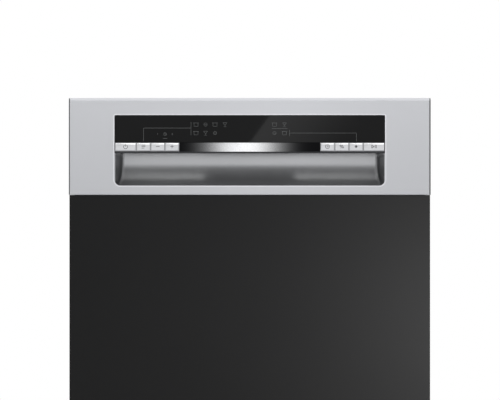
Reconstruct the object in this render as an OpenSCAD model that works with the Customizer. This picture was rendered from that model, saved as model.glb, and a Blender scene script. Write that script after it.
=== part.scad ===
// Semi-integrated built-in dishwasher of the 60 cm class, with its racks, spray arms and door.
// X runs to the right, the door faces -Y and Z is up. The origin lies on the floor under the middle.

/* [Overall] */
// Width over the control fascia
overall_w = 598; // [590:1:604]
// Height of the fascia's top edge above the floor, with the feet screwed in
overall_h = 820; // [815:1:860]
// Depth from the fascia's face to the screw heads on the back
overall_d = 570; // [555:1:600]
// Thickness of the folded steel sheets
sheet_t = 1; // [0.8:0.1:1.4]
// Seating gap between neighbouring pieces
seat_gap = 0.3; // [0.2:0.05:0.4]
// Radial clearance of a pin or stem that turns or slides in its bore
run_clear = 0.05; // [0.03:0.01:0.09]

/* [Cabinet] */
// How far the side panels lie inside the fascia's ends
side_inset = 1; // [0.5:0.1:5]
// How far the top cover lies below the fascia's top edge
cover_drop = 4; // [3:0.5:6]
// Height of the underside of the base tray
base_z = 22; // [18:1:30]
// Wall thickness of the moulded base tray
base_wall = 4; // [3:0.5:5]
// How far the tray's front wall lies behind the tub's front flange
base_setback = 6; // [5:0.5:10]
// Depth of the niche for the hoses at the back of the base tray
hose_niche = 19; // [18:1:40]
// Height of the kick plate
kick_h = 84; // [60:1:85]
// Radius of the screw heads
screw_head_r = 4.5; // [3.5:0.5:5.5]
// Height of the screw heads
screw_head_t = 1.5; // [1:0.1:1.6]

/* [Levelling feet] */
// Radius of a foot's pad
foot_r = 20; // [16:1:24]
// Thickness of a foot's pad
foot_t = 6; // [4:1:8]
// Radius of the foot's stem
foot_stem_r = 5; // [4:0.5:6]
// Length of the foot's stem above its pad
foot_stem_l = 94; // [80:1:100]
// Distance of the front feet's middles from the side panels' faces
foot_side_inset = 48; // [38:1:78]
// Distance of the feet behind the tray's front wall or before its back wall
foot_inset = 28; // [25:1:60]

/* [Tub] */
// Space from a side panel's face to the tub's inner face
tub_side_space = 23; // [20:0.5:33]
// Space from the top cover's face down to the tub's ceiling
tub_top_space = 16; // [14:0.5:36]
// Height of the tub's floor above the ground
floor_z = 140; // [138:1:146]
// Thickness of the tub's sheet
tub_wall = 1; // [0.8:0.1:1.2]
// Space behind the tub for insulation
tub_back_space = 20; // [14:1:40]
// Radius of the tub's upper corners
tub_corner_r = 22; // [10:1:30]
// Thickness of the door gasket when the door is shut
gasket_t = 3.7; // [3:0.1:5]
// Width of the door gasket
gasket_w = 8; // [6:0.5:8.5]

/* [Sump and water parts] */
// Radius of the sump opening in the tub's floor
sump_r = 95; // [85:1:100]
// Depth of the sump pot below the tub's floor
sump_depth = 65; // [55:1:75]
// How far the sump's pot lies inside its opening
sump_ledge = 3; // [2:0.5:5]
// Place of the sump's centre from left to right
sump_x = 20; // [15:1:30]
// Distance of the sump's centre in front of the spray arms' axis
sump_forward = 32; // [24:1:42]
// Radius of the standpipe that carries the lower spray arm
standpipe_r = 16; // [14:0.5:18]
// How far the spray arms' axis lies in front of the tub's middle
arm_forward = 3.25; // [0:0.25:6]
// Radius of the removable filter cylinder
filter_r = 32; // [28:1:34]
// Radius of the circulation pump's housing
pump_r = 40; // [34:1:42]
// Clearance between the circulation pump's end and the spring beside it
pump_end_gap = 21.4; // [10:0.2:40]
// Length of the necks that join both pumps to the sump
pump_neck_l = 20; // [14:1:26]
// Radius of the drain pump's housing
drain_pump_r = 28; // [22:1:32]
// Length of the drain pump with its neck
drain_pump_l = 75; // [60:1:90]
// Radius of the balance springs
spring_r = 9; // [7:0.5:10]
// Length of a balance spring's coil
spring_l = 140; // [100:5:160]
// Distance of the springs' middles from the base tray's sides
spring_inset = 16; // [14:0.5:20]
// Distance of the springs' back posts from the base tray's front
spring_reach = 265; // [240:5:280]
// Radius of the salt container's neck
salt_neck_r = 35; // [32:1:38]
// Distance of the salt container's middle from the side panel's face
salt_inset = 108; // [104:1:120]
// Distance of the salt container's middle from the base tray's back
salt_back_inset = 116; // [108:1:130]
// Length of the water box beside the tub
water_box_l = 240; // [180:5:260]
// Height of the water box
water_box_h = 290; // [240:5:320]
// Height of the water box above the tub's floor
water_box_rise = 90; // [60:5:120]
// Distance of the water box behind the tub's front
water_box_front = 120; // [100:5:160]
// Radius of the water box's corners
water_box_r = 25; // [10:1:40]
// Outer radius of the three-quarter-inch inlet thread
inlet_r = 13.2; // [12.8:0.1:13.4]
// Outer radius of the drain spigot
drain_r = 10.5; // [9:0.5:12]

/* [Spray arms and rails] */
// Clearance between the lower spray arm's tips and the tub's front edge
lower_arm_gap = 21; // [17:1:43]
// Clearance between the upper spray arm's tips and the tub's front edge
upper_arm_gap = 41; // [33:1:63]
// Radius of the tube that feeds and carries the upper spray arm
feed_tube_r = 9; // [7:0.5:10]
// Thickness of a spray arm
arm_t = 13; // [11:0.5:14]
// Half the width of a spray arm near its hub
arm_root = 20; // [17:0.5:24]
// Half the width of a spray arm at its tip
arm_tip = 13; // [10:0.5:15]
// Height of the rails of the upper rack
rail_z = 530; // [520:1:540]
// Height of a rail's section
rail_h = 30; // [26:1:34]
// Distance of the rails' front ends behind the tub's front edge
rail_setback = 11; // [8:1:20]
// Distance of the rails' back ends from the tub's back wall
rail_back_gap = 36.5; // [30:0.5:60]
// Thickness of the rail sheets
rail_t = 1.5; // [1:0.1:2]

/* [Racks] */
// Radius of the rack wires
wire_r = 2; // [1.6:0.1:2.4]
// Spacing of the rack wires
wire_pitch = 34; // [28:1:45]
// Distance of both racks behind the door liner
rack_front_gap = 30; // [28:1:40]
// Distance of both racks' back walls from the tub's back wall
rack_back_gap = 50.5; // [44:0.5:76]
// Space between the lower rack's side wires and the tub's side
lower_rack_gap = 27; // [25:0.5:40]
// Height of the lower rack's floor wires
lower_rack_z = 180; // [180:1:186]
// Height of the lower rack's walls
lower_rack_h = 150; // [110:1:160]
// Radius of the lower rack's wheels
wheel_r = 18; // [16:0.5:18]
// Distance of the front wheels' axle from the rack's front
wheel_inset_front = 64; // [50:1:80]
// Distance of the rear wheels' axle from the rack's back
wheel_inset_back = 60; // [50:1:80]
// Thickness of a wheel
wheel_t = 11; // [8:0.5:12]
// Radius of a wheel's axle
axle_r = 3; // [2.5:0.1:4]
// Space between the upper rack's side wires and the tub's side
upper_rack_gap = 23; // [23:0.5:35]
// Height of the upper rack's floor wires
upper_rack_z = 456; // [454:1:462]
// Height of the upper rack's walls
upper_rack_h = 135; // [110:1:150]
// Height of the folding tines
tine_h = 78; // [60:1:90]
// Spacing of the tines
tine_pitch = 30; // [24:1:36]
// Distance of the first tine row from the rack's front
tine_inset = 125; // [110:1:140]
// Distance between the two tine rows
tine_row_gap = 120; // [110:1:130]
// Distance of the tine rows' left ends from the rack's side
tine_side_gap = 22; // [16:1:30]
// Distance of the tine rows' right ends from the cutlery basket
tine_basket_gap = 16; // [12:1:24]
// Height of the fixed tines in the upper rack
cup_tine_h = 48; // [36:1:60]
// Distance of the first fixed tine row from the rack's front
cup_tine_inset = 110; // [90:1:120]
// Distance between the fixed tine rows
cup_tine_gap = 90; // [80:1:100]
// Half the length of a fixed tine row
cup_tine_half = 130; // [100:1:140]
// Depth of a cup shelf
shelf_w = 92; // [70:1:100]
// Height of the cup shelves above the upper rack's floor
shelf_rise = 104; // [90:1:110]
// Distance of the cup shelves' front ends from the rack's front
shelf_inset_front = 70; // [50:1:90]
// Distance of the cup shelves' back ends from the rack's back
shelf_inset_back = 66; // [50:1:90]
// Width of the cutlery basket
basket_w = 78; // [60:1:80]
// Length of the cutlery basket
basket_l = 216; // [160:1:220]
// Height of the cutlery basket's walls
basket_h = 112; // [90:1:120]
// Wall thickness of the cutlery basket
basket_wall = 2; // [1.5:0.1:2.5]
// Distance of the cutlery basket from the rack's side
basket_side_gap = 14; // [10:1:20]
// Distance of the cutlery basket from the rack's front
basket_front_gap = 60; // [50:1:80]

/* [Door] */
// Depth of the shut door, from the fascia's face to the liner's inner face
door_t = 70; // [68:0.5:80]
// Distance of the hinge axis in front of the liner's inner face
hinge_inset = 7; // [6.5:0.1:8]
// Height of the hinge axis
hinge_z = 128; // [127:0.5:129]
// Radius of the hinge pins
hinge_pin_r = 4; // [3:0.1:4.5]
// Thickness of the front panel
panel_t = 18; // [16:0.5:20]
// How far the front panel lies inside the fascia's ends
panel_side_inset = 1; // [0.5:0.1:5]
// How far the front panel's face lies behind the fascia's face
panel_inset = 2; // [1:0.5:4]
// Height of the front panel's lower edge
panel_z = 118; // [118:1:130]
// Width of the shadow gap between fascia and front panel
shadow_gap = 1.2; // [0.8:0.1:3]

/* [Control fascia] */
// Height of the fascia
fascia_h = 159; // [150:1:165]
// Wall thickness of the fascia
fascia_wall = 2.5; // [2:0.1:3]
// Height of the bevel along the fascia's top edge
bevel_h = 4; // [2:0.5:5]
// Width of the window in the fascia
window_w = 446; // [430:1:460]
// Height of the window in the fascia
window_h = 115.5; // [110:0.5:118]
// Distance of the window below the fascia's top edge
window_drop = 28.7; // [26:0.1:32]
// Radius of the window's lower corners
window_r = 10; // [6:0.5:14]
// Height of the black display strip
display_h = 44.8; // [40:0.1:48]
// Thickness of the display strip
display_t = 2.5; // [2:0.1:3]
// Height of the row of keys
key_h = 13.6; // [12:0.1:16]
// Width of a small key
key_w = 21.3; // [18:0.1:22]
// Gap between two keys
key_gap = 2.3; // [1.5:0.1:3]
// Thickness of a key's cap
key_t = 2.1; // [1.8:0.1:2.4]
// Travel of a key
key_travel = 1; // [0.6:0.1:1.2]
// Width of the plain bar between the keys
bar_w = 233; // [215:1:240]
// Height of the finger lip under the keys
lip_h = 3.8; // [3:0.1:5]
// Depth of the grip pocket behind its mouth
grip_depth = 36; // [28:1:38]
// Depth of the flat strip in front of the pocket's scooped floor
grip_floor = 1; // [0.5:0.5:10]
// How far each end of the pocket draws in from its mouth to its back
grip_draft = 14; // [8:1:20]
// Radius of the pocket's back corners
grip_corner_r = 16; // [10:1:20]
// How far the pocket's mouth lies inside the window's ends
grip_side_gap = 1; // [0.5:0.1:3]
// Height that the pocket rises behind the finger lip
grip_undercut = 7; // [4:0.5:8]
// Wall thickness of the grip pocket
grip_wall = 2.2; // [1.8:0.1:2.6]

/* [Dispenser] */
// Width of the dispenser
dispenser_w = 190; // [180:1:200]
// Height of the dispenser
dispenser_h = 100; // [92:1:110]
// Height of the dispenser's lower edge
dispenser_z = 400; // [395:1:410]
// How far the dispenser stands out of the door liner
dispenser_proud = 12; // [10:0.5:13]
// Width of the detergent chamber
chamber_w = 60; // [50:1:64]
// Depth of the detergent chamber
chamber_d = 24; // [18:1:26]
// Thickness of the sliding lid
lid_t = 3.5; // [3:0.1:4]
// Radius of the rinse aid cap
rinse_r = 17; // [15:0.5:20]

/* [Hidden] */
$fn = 48;

// Main planes, from the front to the back
y_front = -overall_d / 2;
y_back = overall_d / 2 - screw_head_t;
y_liner = y_front + door_t;
y_hinge = y_liner - hinge_inset;
y_tub = y_liner + seat_gap + gasket_t;
y_base = y_tub + base_setback;
y_post = y_base + spring_reach;
y_base_back = y_back - hose_niche + screw_head_t;
y_tub_back = y_back - sheet_t - tub_back_space;
y_inner_back = y_tub_back - tub_wall;
y_seam = y_inner_back - seat_gap;
arm_y = (y_tub + y_inner_back) / 2 - arm_forward;
sump_y = arm_y - sump_forward;
y_panel = y_front + panel_inset;
y_skin = y_panel + panel_t + seat_gap;

// Main heights
z_cover = overall_h - cover_drop;
z_flange_top = z_cover - sheet_t - seat_gap;
z_tub_under = floor_z - tub_wall;
z_base_top = z_tub_under - seat_gap;
z_base_floor = base_z + base_wall;
z_ceiling = z_cover - tub_top_space;
z_arch = z_ceiling + tub_wall - tub_corner_r;
tub_h = z_ceiling - floor_z;
z_fascia = overall_h - fascia_h;
z_window_top = overall_h - window_drop;
z_window = z_window_top - window_h;
z_key_top = z_window_top - display_h;
z_key = z_key_top - key_h;
z_lip = z_key - lip_h;

// Main widths and half widths
x_front = overall_w / 2;
x_side = x_front - side_inset;
x_base = x_side - sheet_t - seat_gap;
x_spring = x_base - spring_inset;
foot_x = x_side - foot_side_inset;
x_tub = x_side - tub_side_space;
x_window = window_w / 2;
x_liner = x_base - 8;
x_pan = x_tub + 5;
x_arm = x_pan + sheet_t;
hinge_plate_t = 4;
x_bracket = x_arm + hinge_plate_t + 1;
x_skin = x_bracket + hinge_plate_t + 1;

// Sump, filter and salt places
x_filter = sump_x + 30;
y_filter = sump_y - 33;
filter_plate_t = 2;
z_sump = z_tub_under - sump_depth;
sump_wall = 3;
z_water = z_sump + 18;
x_salt = salt_inset - x_side;
y_salt = y_base_back - salt_back_inset;
riser_x = 15;
z_duct = z_tub_under - 30;
riser_t = 14;
y_riser = y_inner_back - seat_gap - riser_t;
z_arm_lower = floor_z + 16;
z_dock = upper_rack_z - 9.5;
z_tube = upper_rack_z - wire_r - 14;
z_tube_end = z_tube - 12;
lower_arm_r = arm_y - y_tub - lower_arm_gap;
upper_arm_r = arm_y - y_tub - upper_arm_gap;

// Racks
y_rack = y_liner + rack_front_gap;
y_rack_back = y_inner_back - rack_back_gap;
lower_rack_w = 2 * (x_tub - lower_rack_gap);
upper_rack_w = 2 * (x_tub - upper_rack_gap);
x_wheel = lower_rack_w / 2 + wire_r + 7;
z_axle = floor_z + seat_gap + wheel_r;
y_wheels = [y_rack + wheel_inset_front, y_rack_back - wheel_inset_back];
y_rail = y_tub + rail_setback;
rail_l = y_inner_back - rail_back_gap - y_rail;
x_rail = x_tub - seat_gap;
rail_gap = 0.5;
rail_depth = 11;
x_rail_middle = x_rail - rail_t - rail_gap;
x_rail_inner = x_rail_middle - rail_t - rail_gap;
x_basket = lower_rack_w / 2 - basket_side_gap - basket_w;
y_basket = y_rack + basket_front_gap;
z_basket = lower_rack_z + 2 * wire_r + seat_gap;
compartments = 4;
pivot_r = 2.5;
z_tines = lower_rack_z + 2 * wire_r + pivot_r + seat_gap;
x_tines = [-lower_rack_w / 2 + tine_side_gap, x_basket - tine_basket_gap];
y_tines = [y_rack + tine_inset, y_rack + tine_inset + tine_row_gap];
z_shelf = upper_rack_z + shelf_rise;
x_shelf = upper_rack_w / 2 - 2 * wire_r - pivot_r - seat_gap;
y_shelf = [y_rack + shelf_inset_front, y_rack_back - shelf_inset_back];

// Fascia, keys and dispenser
y_pocket = y_front + fascia_wall + seat_gap;
y_key = y_front + 0.4;
key_bevel = 0.5;
y_carrier = y_key + key_t + key_travel + seat_gap;
carrier_t = 2.5;
y_board = y_carrier + carrier_t + 3.7;
z_board = z_lip + grip_undercut + grip_wall + 2 * seat_gap;
z_stem = z_key_top - 4;
stem_r = 2;
y_dispenser = y_liner + dispenser_proud;
x_chamber = 10;
lid_w = chamber_w + 10;
lid_h = dispenser_h - 24;
z_lid = dispenser_z + 12;
x_rinse = dispenser_w / 2 - rinse_r - 8;
z_rinse = dispenser_z + dispenser_h / 2;
strike_x = 9;
strike_t = 3.2;
z_strike = z_cover - sheet_t - strike_t - seat_gap;

// A box between two opposite corners
module box(lo, hi) {
  translate(lo) cube(hi - lo);
}

// A flat shape drawn in X and Z, given a depth along Y
module along_y(y0, y1) {
  translate([0, y1, 0]) rotate([90, 0, 0]) linear_extrude(y1 - y0) children();
}

// A flat shape drawn in Y and Z, given a width along X
module along_x(x0, x1) {
  translate([x0, 0, 0]) rotate([90, 0, 90]) linear_extrude(x1 - x0) children();
}

module both_sides() {
  children();
  mirror([1, 0, 0]) children();
}

// A rectangle with one radius for its lower corners and one for its upper ones
module outline(half, z0, z1, r_low, r_top) {
  translate([-half, z0 + r_low]) square([2 * half, z1 - z0 - r_low - r_top]);
  translate([-half + r_low, z0]) square([2 * (half - r_low), 2 * r_low]);
  translate([-half + r_top, z1 - 2 * r_top]) square([2 * (half - r_top), 2 * r_top]);
  for (side = [-1, 1]) {
    translate([side * (half - r_low), z0 + r_low]) circle(r_low);
    translate([side * (half - r_top), z1 - r_top]) circle(r_top);
  }
}

module disc(x, y, z0, z1, r) {
  translate([x, y, z0]) cylinder(h = z1 - z0, r = r);
}

module rod_x(x0, x1, y, z, r, sides = 8) {
  translate([x0, y, z]) rotate([0, 90, 0]) cylinder(h = x1 - x0, r = r, $fn = sides);
}

module rod_y(y0, y1, x, z, r, sides = 8) {
  translate([x, y1, z]) rotate([90, 0, 0]) cylinder(h = y1 - y0, r = r, $fn = sides);
}

module rod_z(z0, z1, x, y, r, sides = 8) {
  translate([x, y, z0]) cylinder(h = z1 - z0, r = r, $fn = sides);
}

// Even places from a to b, at most one pitch apart
function spread(a, b, pitch) = let (n = ceil((b - a) / pitch)) [for (i = [0:n]) a + (b - a) * i / n];

module foot_places() {
  for (side = [-1, 1]) translate([side * foot_x, y_base + foot_inset, 0]) children();
  translate([0, y_base_back - foot_inset, 0]) children();
}

module base_tray() {
  color("dimgray") difference() {
    union() {
      difference() {
        box([-x_base, y_base, base_z], [x_base, y_base_back, z_base_top]);
        box([-x_base + base_wall, y_base + base_wall, z_base_floor],
            [x_base - base_wall, y_base_back - base_wall, z_base_top + 1]);
      }
      foot_places() disc(0, 0, base_z, base_z + 28, 2 * foot_stem_r);
      for (side = [-1, 1]) {
        box([side * x_spring - 5, y_post, z_base_floor - 1],
            [side * x_spring + 5, y_post + 4, hinge_z - 18]);
      }
      rod_y(y_base_back - 1, y_back, x_side - 170, z_base_floor + 34, drain_r, 48);
    }
    foot_places() disc(0, 0, base_z - 1, base_z + 29, foot_stem_r + run_clear);
    rod_y(y_base_back - base_wall - 1, y_back + 1, x_side - 170, z_base_floor + 34, drain_r - 2, 48);
    rod_y(y_base_back - base_wall - 1, y_base_back + 1, 100 - x_side, z_base_floor + 34, inlet_r + 1, 48);
    rod_y(y_base_back - base_wall - 1, y_base_back + 1, x_side - 80, z_base_floor + 34, 9, 48);
  }
}

module kick_plate() {
  y0 = y_tub + 1;
  z0 = base_z + 4;
  color("darkslategray") {
    box([-x_base, y0, z0], [x_base, y0 + sheet_t, z0 + kick_h]);
    for (z = [z0, z0 + kick_h - sheet_t]) {
      box([-x_base, y0, z], [x_base, y_base - seat_gap, z + sheet_t]);
    }
  }
}

module foot() {
  color("black") difference() {
    union() {
      disc(0, 0, 0, foot_t, foot_r);
      disc(0, 0, 0, foot_t + foot_stem_l, foot_stem_r);
    }
    disc(0, 0, foot_t + foot_stem_l - 4, foot_t + foot_stem_l + 1, 2);
  }
}

module foot_front_left() {
  translate([-foot_x, y_base + foot_inset, 0]) foot();
}

module foot_front_right() {
  translate([foot_x, y_base + foot_inset, 0]) foot();
}

module foot_rear() {
  translate([0, y_base_back - foot_inset, 0]) foot();
}

// A side panel with a folded flange along its back edge and a shallow pressed field
module side_panel() {
  z0 = base_z + 4;
  color("lightgray") {
    difference() {
      box([x_side - sheet_t, y_tub, z0], [x_side, y_back - sheet_t - seat_gap, z_cover]);
      box([x_side - sheet_t / 2, y_tub + 60, floor_z + 60],
          [x_side + 1, y_back - 60, z_cover - 60]);
    }
    box([x_tub + 8, y_back - 2 * sheet_t - seat_gap, z0 + hinge_z],
        [x_side, y_back - sheet_t - seat_gap, z_cover - 2 * sheet_t - seat_gap]);
  }
}

module side_panel_left() {
  mirror([1, 0, 0]) side_panel();
}

module side_panel_right() {
  side_panel();
}

module back_panel() {
  color("silver") difference() {
    box([-x_side, y_back - sheet_t, z_tub_under], [x_side, y_back, z_cover]);
    for (z = spread(floor_z + 80, z_ceiling - 80, 130)) {
      along_y(y_back - sheet_t / 2, y_back + 1) outline(x_tub - 40, z - 12, z + 12, 10, 10);
    }
  }
}

module top_cover() {
  y0 = y_tub;
  y1 = y_back - 2 * sheet_t - 2 * seat_gap;
  color("silver") difference() {
    union() {
      box([-x_base, y0, z_cover - sheet_t], [x_base, y1, z_cover]);
      box([-strike_x, y_tub - 27, z_strike], [strike_x, y_tub + 25, z_strike + strike_t]);
      box([-strike_x, y_tub + 3, z_strike], [strike_x, y_tub + 25, z_cover]);
      box([-x_base, y1 - sheet_t, z_cover - 12], [x_base, y1, z_cover]);
    }
    box([-strike_x + 4, y_tub - 24, z_strike - 1], [strike_x - 4, y_tub - 16, z_strike + strike_t + 1]);
    for (side = [-1, 1]) disc(side * foot_x, y_tub + 14, z_cover - 5, z_cover + 1, 2.5);
    box([-x_tub + 60, y_tub + 90, z_cover - sheet_t / 2], [x_tub - 60, y_back - 90, z_cover + 1]);
  }
}

// A side sheet of the tub with its folded front flange
module tub_side() {
  z1 = z_arch - seat_gap;
  box([x_tub, y_tub, z_tub_under], [x_tub + tub_wall, y_seam, z1]);
  box([x_tub, y_tub, z_tub_under], [x_base, y_tub + tub_wall, z1]);
}

// The tub's ceiling sheet with both round corners and its front flange
module tub_ceiling() {
  difference() {
    union() {
      along_y(y_tub, y_seam) difference() {
        outline(x_tub + tub_wall, z_arch - 8, z_ceiling + tub_wall, 2, tub_corner_r);
        outline(x_tub, z_arch - 9, z_ceiling, 2, tub_corner_r - tub_wall);
      }
      along_y(y_tub, y_tub + tub_wall) difference() {
        translate([-x_base, z_arch]) square([2 * x_base, z_flange_top - z_arch]);
        outline(x_tub, z_arch - 9, z_ceiling, 2, tub_corner_r - tub_wall);
      }
    }
    box([-x_base, y_tub - 1, z_arch - tub_corner_r - 1], [x_base, y_seam + 1, z_arch]);
    box([-strike_x - 1, y_tub - 1, z_strike - 1], [strike_x + 1, y_tub + 2, z_flange_top + 1]);
  }
}

// The tub's floor sheet with the openings for sump, salt and water riser
module tub_floor() {
  difference() {
    box([-x_tub + seat_gap, y_tub, z_tub_under], [x_tub - seat_gap, y_seam, floor_z]);
    disc(sump_x, sump_y, z_tub_under - 1, floor_z + 1, sump_r);
    disc(x_salt, y_salt, z_tub_under - 1, floor_z + 1, salt_neck_r + seat_gap);
    box([-riser_x - seat_gap, y_riser - seat_gap, z_tub_under - 1],
        [riser_x + seat_gap, y_inner_back, floor_z + 1]);
  }
}

module tub() {
  color("lightsteelblue") {
    both_sides() tub_side();
    tub_ceiling();
    tub_floor();
    along_y(y_inner_back, y_tub_back)
      outline(x_tub + tub_wall, z_tub_under, z_ceiling + tub_wall, 4, tub_corner_r);
  }
}

// Section of the gasket, with a raised sealing lip: width first, then height
gasket_section = [
  [0, 0], [gasket_w, 0], [gasket_w, -gasket_t / 2], [gasket_w * 0.7, -gasket_t],
  [gasket_w * 0.3, -gasket_t], [0, -gasket_t / 2]
];

module door_gasket() {
  z_top = z_ceiling + tub_wall;
  color("black") {
    both_sides() translate([x_tub + 2, y_tub, floor_z + 2]) linear_extrude(tub_h) polygon(gasket_section);
    along_x(-x_tub - 2, x_tub + 2) translate([y_tub, z_top + 1])
      polygon([for (p = gasket_section) [p[1], p[0]]]);
  }
}

module hinge_brackets() {
  color("silver") both_sides() {
    along_x(x_bracket, x_bracket + hinge_plate_t) translate([y_hinge, hinge_z]) {
      circle(hinge_inset);
      polygon([[0, -hinge_inset], [0, 4], [6, 2], [y_base - seat_gap - y_hinge, 2],
               [y_base - seat_gap - y_hinge, -14], [5, -14]]);
    }
    box([x_bracket - 20, y_base - seat_gap - 1.7, hinge_z - 14],
        [x_bracket + hinge_plate_t, y_base - seat_gap, hinge_z + 2]);
    rod_x(x_arm - 0.5, x_bracket + 1, y_hinge, hinge_z, hinge_pin_r, 48);
  }
}

module balance_springs() {
  z = hinge_z - 28;
  y1 = y_post - 40;
  y0 = y1 - spring_l;
  color("gray") both_sides() {
    rod_y(y0, y1, x_spring, z, spring_r, 48);
    rod_y(y_base + base_wall + seat_gap, y0 + 1, x_spring, z, 1.6, 48);
    rod_y(y1 - 1, y_post - seat_gap, x_spring, z, 1.6, 48);
  }
}

module sump() {
  z_rim = z_tub_under - seat_gap;
  color("slategray") difference() {
    union() {
      difference() {
        union() {
          disc(sump_x, sump_y, z_sump, z_rim, sump_r - sump_ledge);
          disc(sump_x, sump_y, z_rim - 3, z_rim, sump_r + 6);
        }
        disc(sump_x, sump_y, z_sump + sump_wall, z_rim + 1, sump_r - sump_ledge - sump_wall);
      }
      disc(0, arm_y, z_sump, z_arm_lower + 3, standpipe_r);
      disc(x_filter, y_filter, z_sump, z_sump + 14, filter_r + sump_wall);
    }
    disc(0, arm_y, z_sump + sump_wall, z_arm_lower + 4, standpipe_r - 3);
    disc(x_filter, y_filter, z_sump + sump_wall, z_sump + 15, filter_r + seat_gap);
  }
}

module filter_plate() {
  z0 = z_tub_under;
  color("silver") difference() {
    disc(sump_x, sump_y, z0, z0 + filter_plate_t, sump_r - seat_gap);
    disc(0, arm_y, z0 - 1, z0 + 9, standpipe_r + seat_gap);
    disc(x_filter, y_filter, z0 - 1, z0 + 9, filter_r + run_clear);
  }
}

module filter_cylinder() {
  z0 = z_sump + sump_wall + seat_gap;
  z1 = z_tub_under + filter_plate_t + seat_gap;
  color("gainsboro") difference() {
    union() {
      disc(x_filter, y_filter, z0, z1 + 1, filter_r);
      disc(x_filter, y_filter, z1, z1 + 2.5, filter_r + 3);
      box([x_filter - filter_r + 4, y_filter - 3, z1], [x_filter + filter_r - 4, y_filter + 3, z1 + 10]);
    }
    disc(x_filter, y_filter, z0 - 1, z1 - 3, filter_r - 2);
  }
}

module circulation_pump() {
  x0 = sump_x + sump_r - sump_ledge + seat_gap;
  x1 = x0 + pump_neck_l;
  x2 = x_spring - spring_r - pump_end_gap;
  color("dimgray") {
    rod_x(x0, x1, sump_y, z_water, 15, 48);
    rod_x(x1 - 2, x1 + 32, sump_y, z_water, pump_r, 48);
    rod_x(x1 + 31, x2, sump_y, z_water, pump_r - 9, 48);
    box([x2 - 78, sump_y - 22, z_base_floor + seat_gap], [x2 - 18, sump_y + 22, z_water - 20]);
  }
}

module drain_pump() {
  x1 = sump_x - sump_r + sump_ledge - seat_gap;
  color("dimgray") {
    rod_x(x1 - pump_neck_l, x1, sump_y, z_water, 12, 48);
    rod_x(x1 - drain_pump_l, x1 - pump_neck_l + 2, sump_y, z_water, drain_pump_r, 48);
  }
}

module salt_container() {
  z_rim = z_tub_under - seat_gap;
  color("whitesmoke") difference() {
    union() {
      disc(x_salt, y_salt, z_base_floor + seat_gap, z_rim - 8, salt_neck_r + 27);
      disc(x_salt, y_salt, z_rim - 9, z_rim, salt_neck_r + 6);
      disc(x_salt, y_salt, z_rim - 1, floor_z + 3, salt_neck_r);
    }
    disc(x_salt, y_salt, z_rim - 20, floor_z + 4, salt_neck_r - 5);
  }
}

module salt_cap() {
  z0 = floor_z + 3 + seat_gap;
  color("gainsboro") {
    disc(x_salt, y_salt, z0, z0 + 5, salt_neck_r + 2);
    disc(x_salt, y_salt, z0 - 12, z0 + 1, salt_neck_r - 5 - run_clear);
    box([x_salt - salt_neck_r + 6, y_salt - 4, z0 + 4], [x_salt + salt_neck_r - 6, y_salt + 4, z0 + 9]);
  }
}

module inlet_valve() {
  x0 = 100 - x_side;
  z0 = z_base_floor + 34;
  y_wall = y_base_back - base_wall - seat_gap;
  color("whitesmoke") difference() {
    union() {
      box([x0 - 20, y_wall - 40, z_base_floor + seat_gap], [x0 + 20, y_wall, z0 + 20]);
      rod_y(y_wall - 1, y_back, x0, z0, inlet_r, 48);
    }
    rod_y(y_wall - 20, y_back + 1, x0, z0, inlet_r - 3.5, 48);
  }
}

module cable_gland() {
  x0 = x_side - 80;
  z0 = z_base_floor + 34;
  color("black") difference() {
    union() {
      rod_y(y_base_back - base_wall - 3, y_base_back + 10, x0, z0, 9 - seat_gap, 48);
      rod_y(y_base_back + seat_gap, y_base_back + 4, x0, z0, 13, 6);
    }
    rod_y(y_base_back - base_wall - 4, y_base_back + 11, x0, z0, 4.5, 48);
  }
}

module water_box() {
  color("lightcyan") along_x(-x_base + 0.5, -x_tub - tub_wall - seat_gap)
    translate([y_tub + water_box_front + water_box_l / 2, floor_z + water_box_rise])
      outline(water_box_l / 2, 0, water_box_h, water_box_r, water_box_r);
}

module feed_pipe() {
  z_top = z_ceiling - seat_gap;
  y1 = y_inner_back - seat_gap;
  color("gainsboro") {
    box([-riser_x, y_riser, z_duct], [riser_x, y1, z_top]);
    box([-riser_x, sump_y + sump_r - sump_ledge + seat_gap, z_duct], [riser_x, y1, z_duct + 17]);
    box([-riser_x, arm_y, z_top - 12], [riser_x, y1, z_top]);
    rod_y(y_riser - 7, y_riser + 1, 0, z_dock, 9, 48);
    disc(0, arm_y, z_top - 22, z_top, 32);
  }
}

// Two tapered blades on a hub, with rows of jets on top, and a bore for what carries it
module spray_arm(reach, hub_r, hub_low, hub_high, bore_r, bore_low, bore_high) {
  difference() {
    union() {
      linear_extrude(arm_t) {
        hull() {
          circle(arm_root, $fn = 32);
          translate([reach - arm_tip, 12]) circle(arm_tip, $fn = 32);
        }
        hull() {
          circle(arm_root, $fn = 32);
          translate([-reach + arm_tip, -12]) circle(arm_tip, $fn = 32);
        }
      }
      disc(0, 0, -hub_low, arm_t + hub_high, hub_r);
      for (side = [-1, 1], i = [1:4]) {
        disc(side * (i * reach / 5 + 4), side * 12 * i / 5, arm_t - 1, arm_t + 1.5, 3);
      }
    }
    disc(0, 0, bore_low, bore_high, bore_r);
  }
}

module lower_spray_arm() {
  color("lightgray") translate([0, arm_y, z_arm_lower + 2])
    spray_arm(lower_arm_r, standpipe_r + 6, 4, 2, standpipe_r + run_clear, -5, arm_t - 3);
}

module upper_spray_arm() {
  z0 = z_tube - arm_t - 3;
  color("lightgray") translate([0, arm_y, z0])
    spray_arm(upper_arm_r, feed_tube_r + 8, 0, 2, feed_tube_r + run_clear,
              z_tube_end - z0 - seat_gap, arm_t + 3);
}

// A C-section rail on the right side, open towards the middle
module c_rail(x1, depth, height) {
  along_y(y_rail, y_rail + rail_l) {
    translate([x1 - rail_t, rail_z - height / 2]) square([rail_t, height]);
    for (z = [rail_z - height / 2, rail_z + height / 2 - rail_t]) {
      translate([x1 - depth, z]) square([depth, rail_t]);
    }
  }
}

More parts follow.
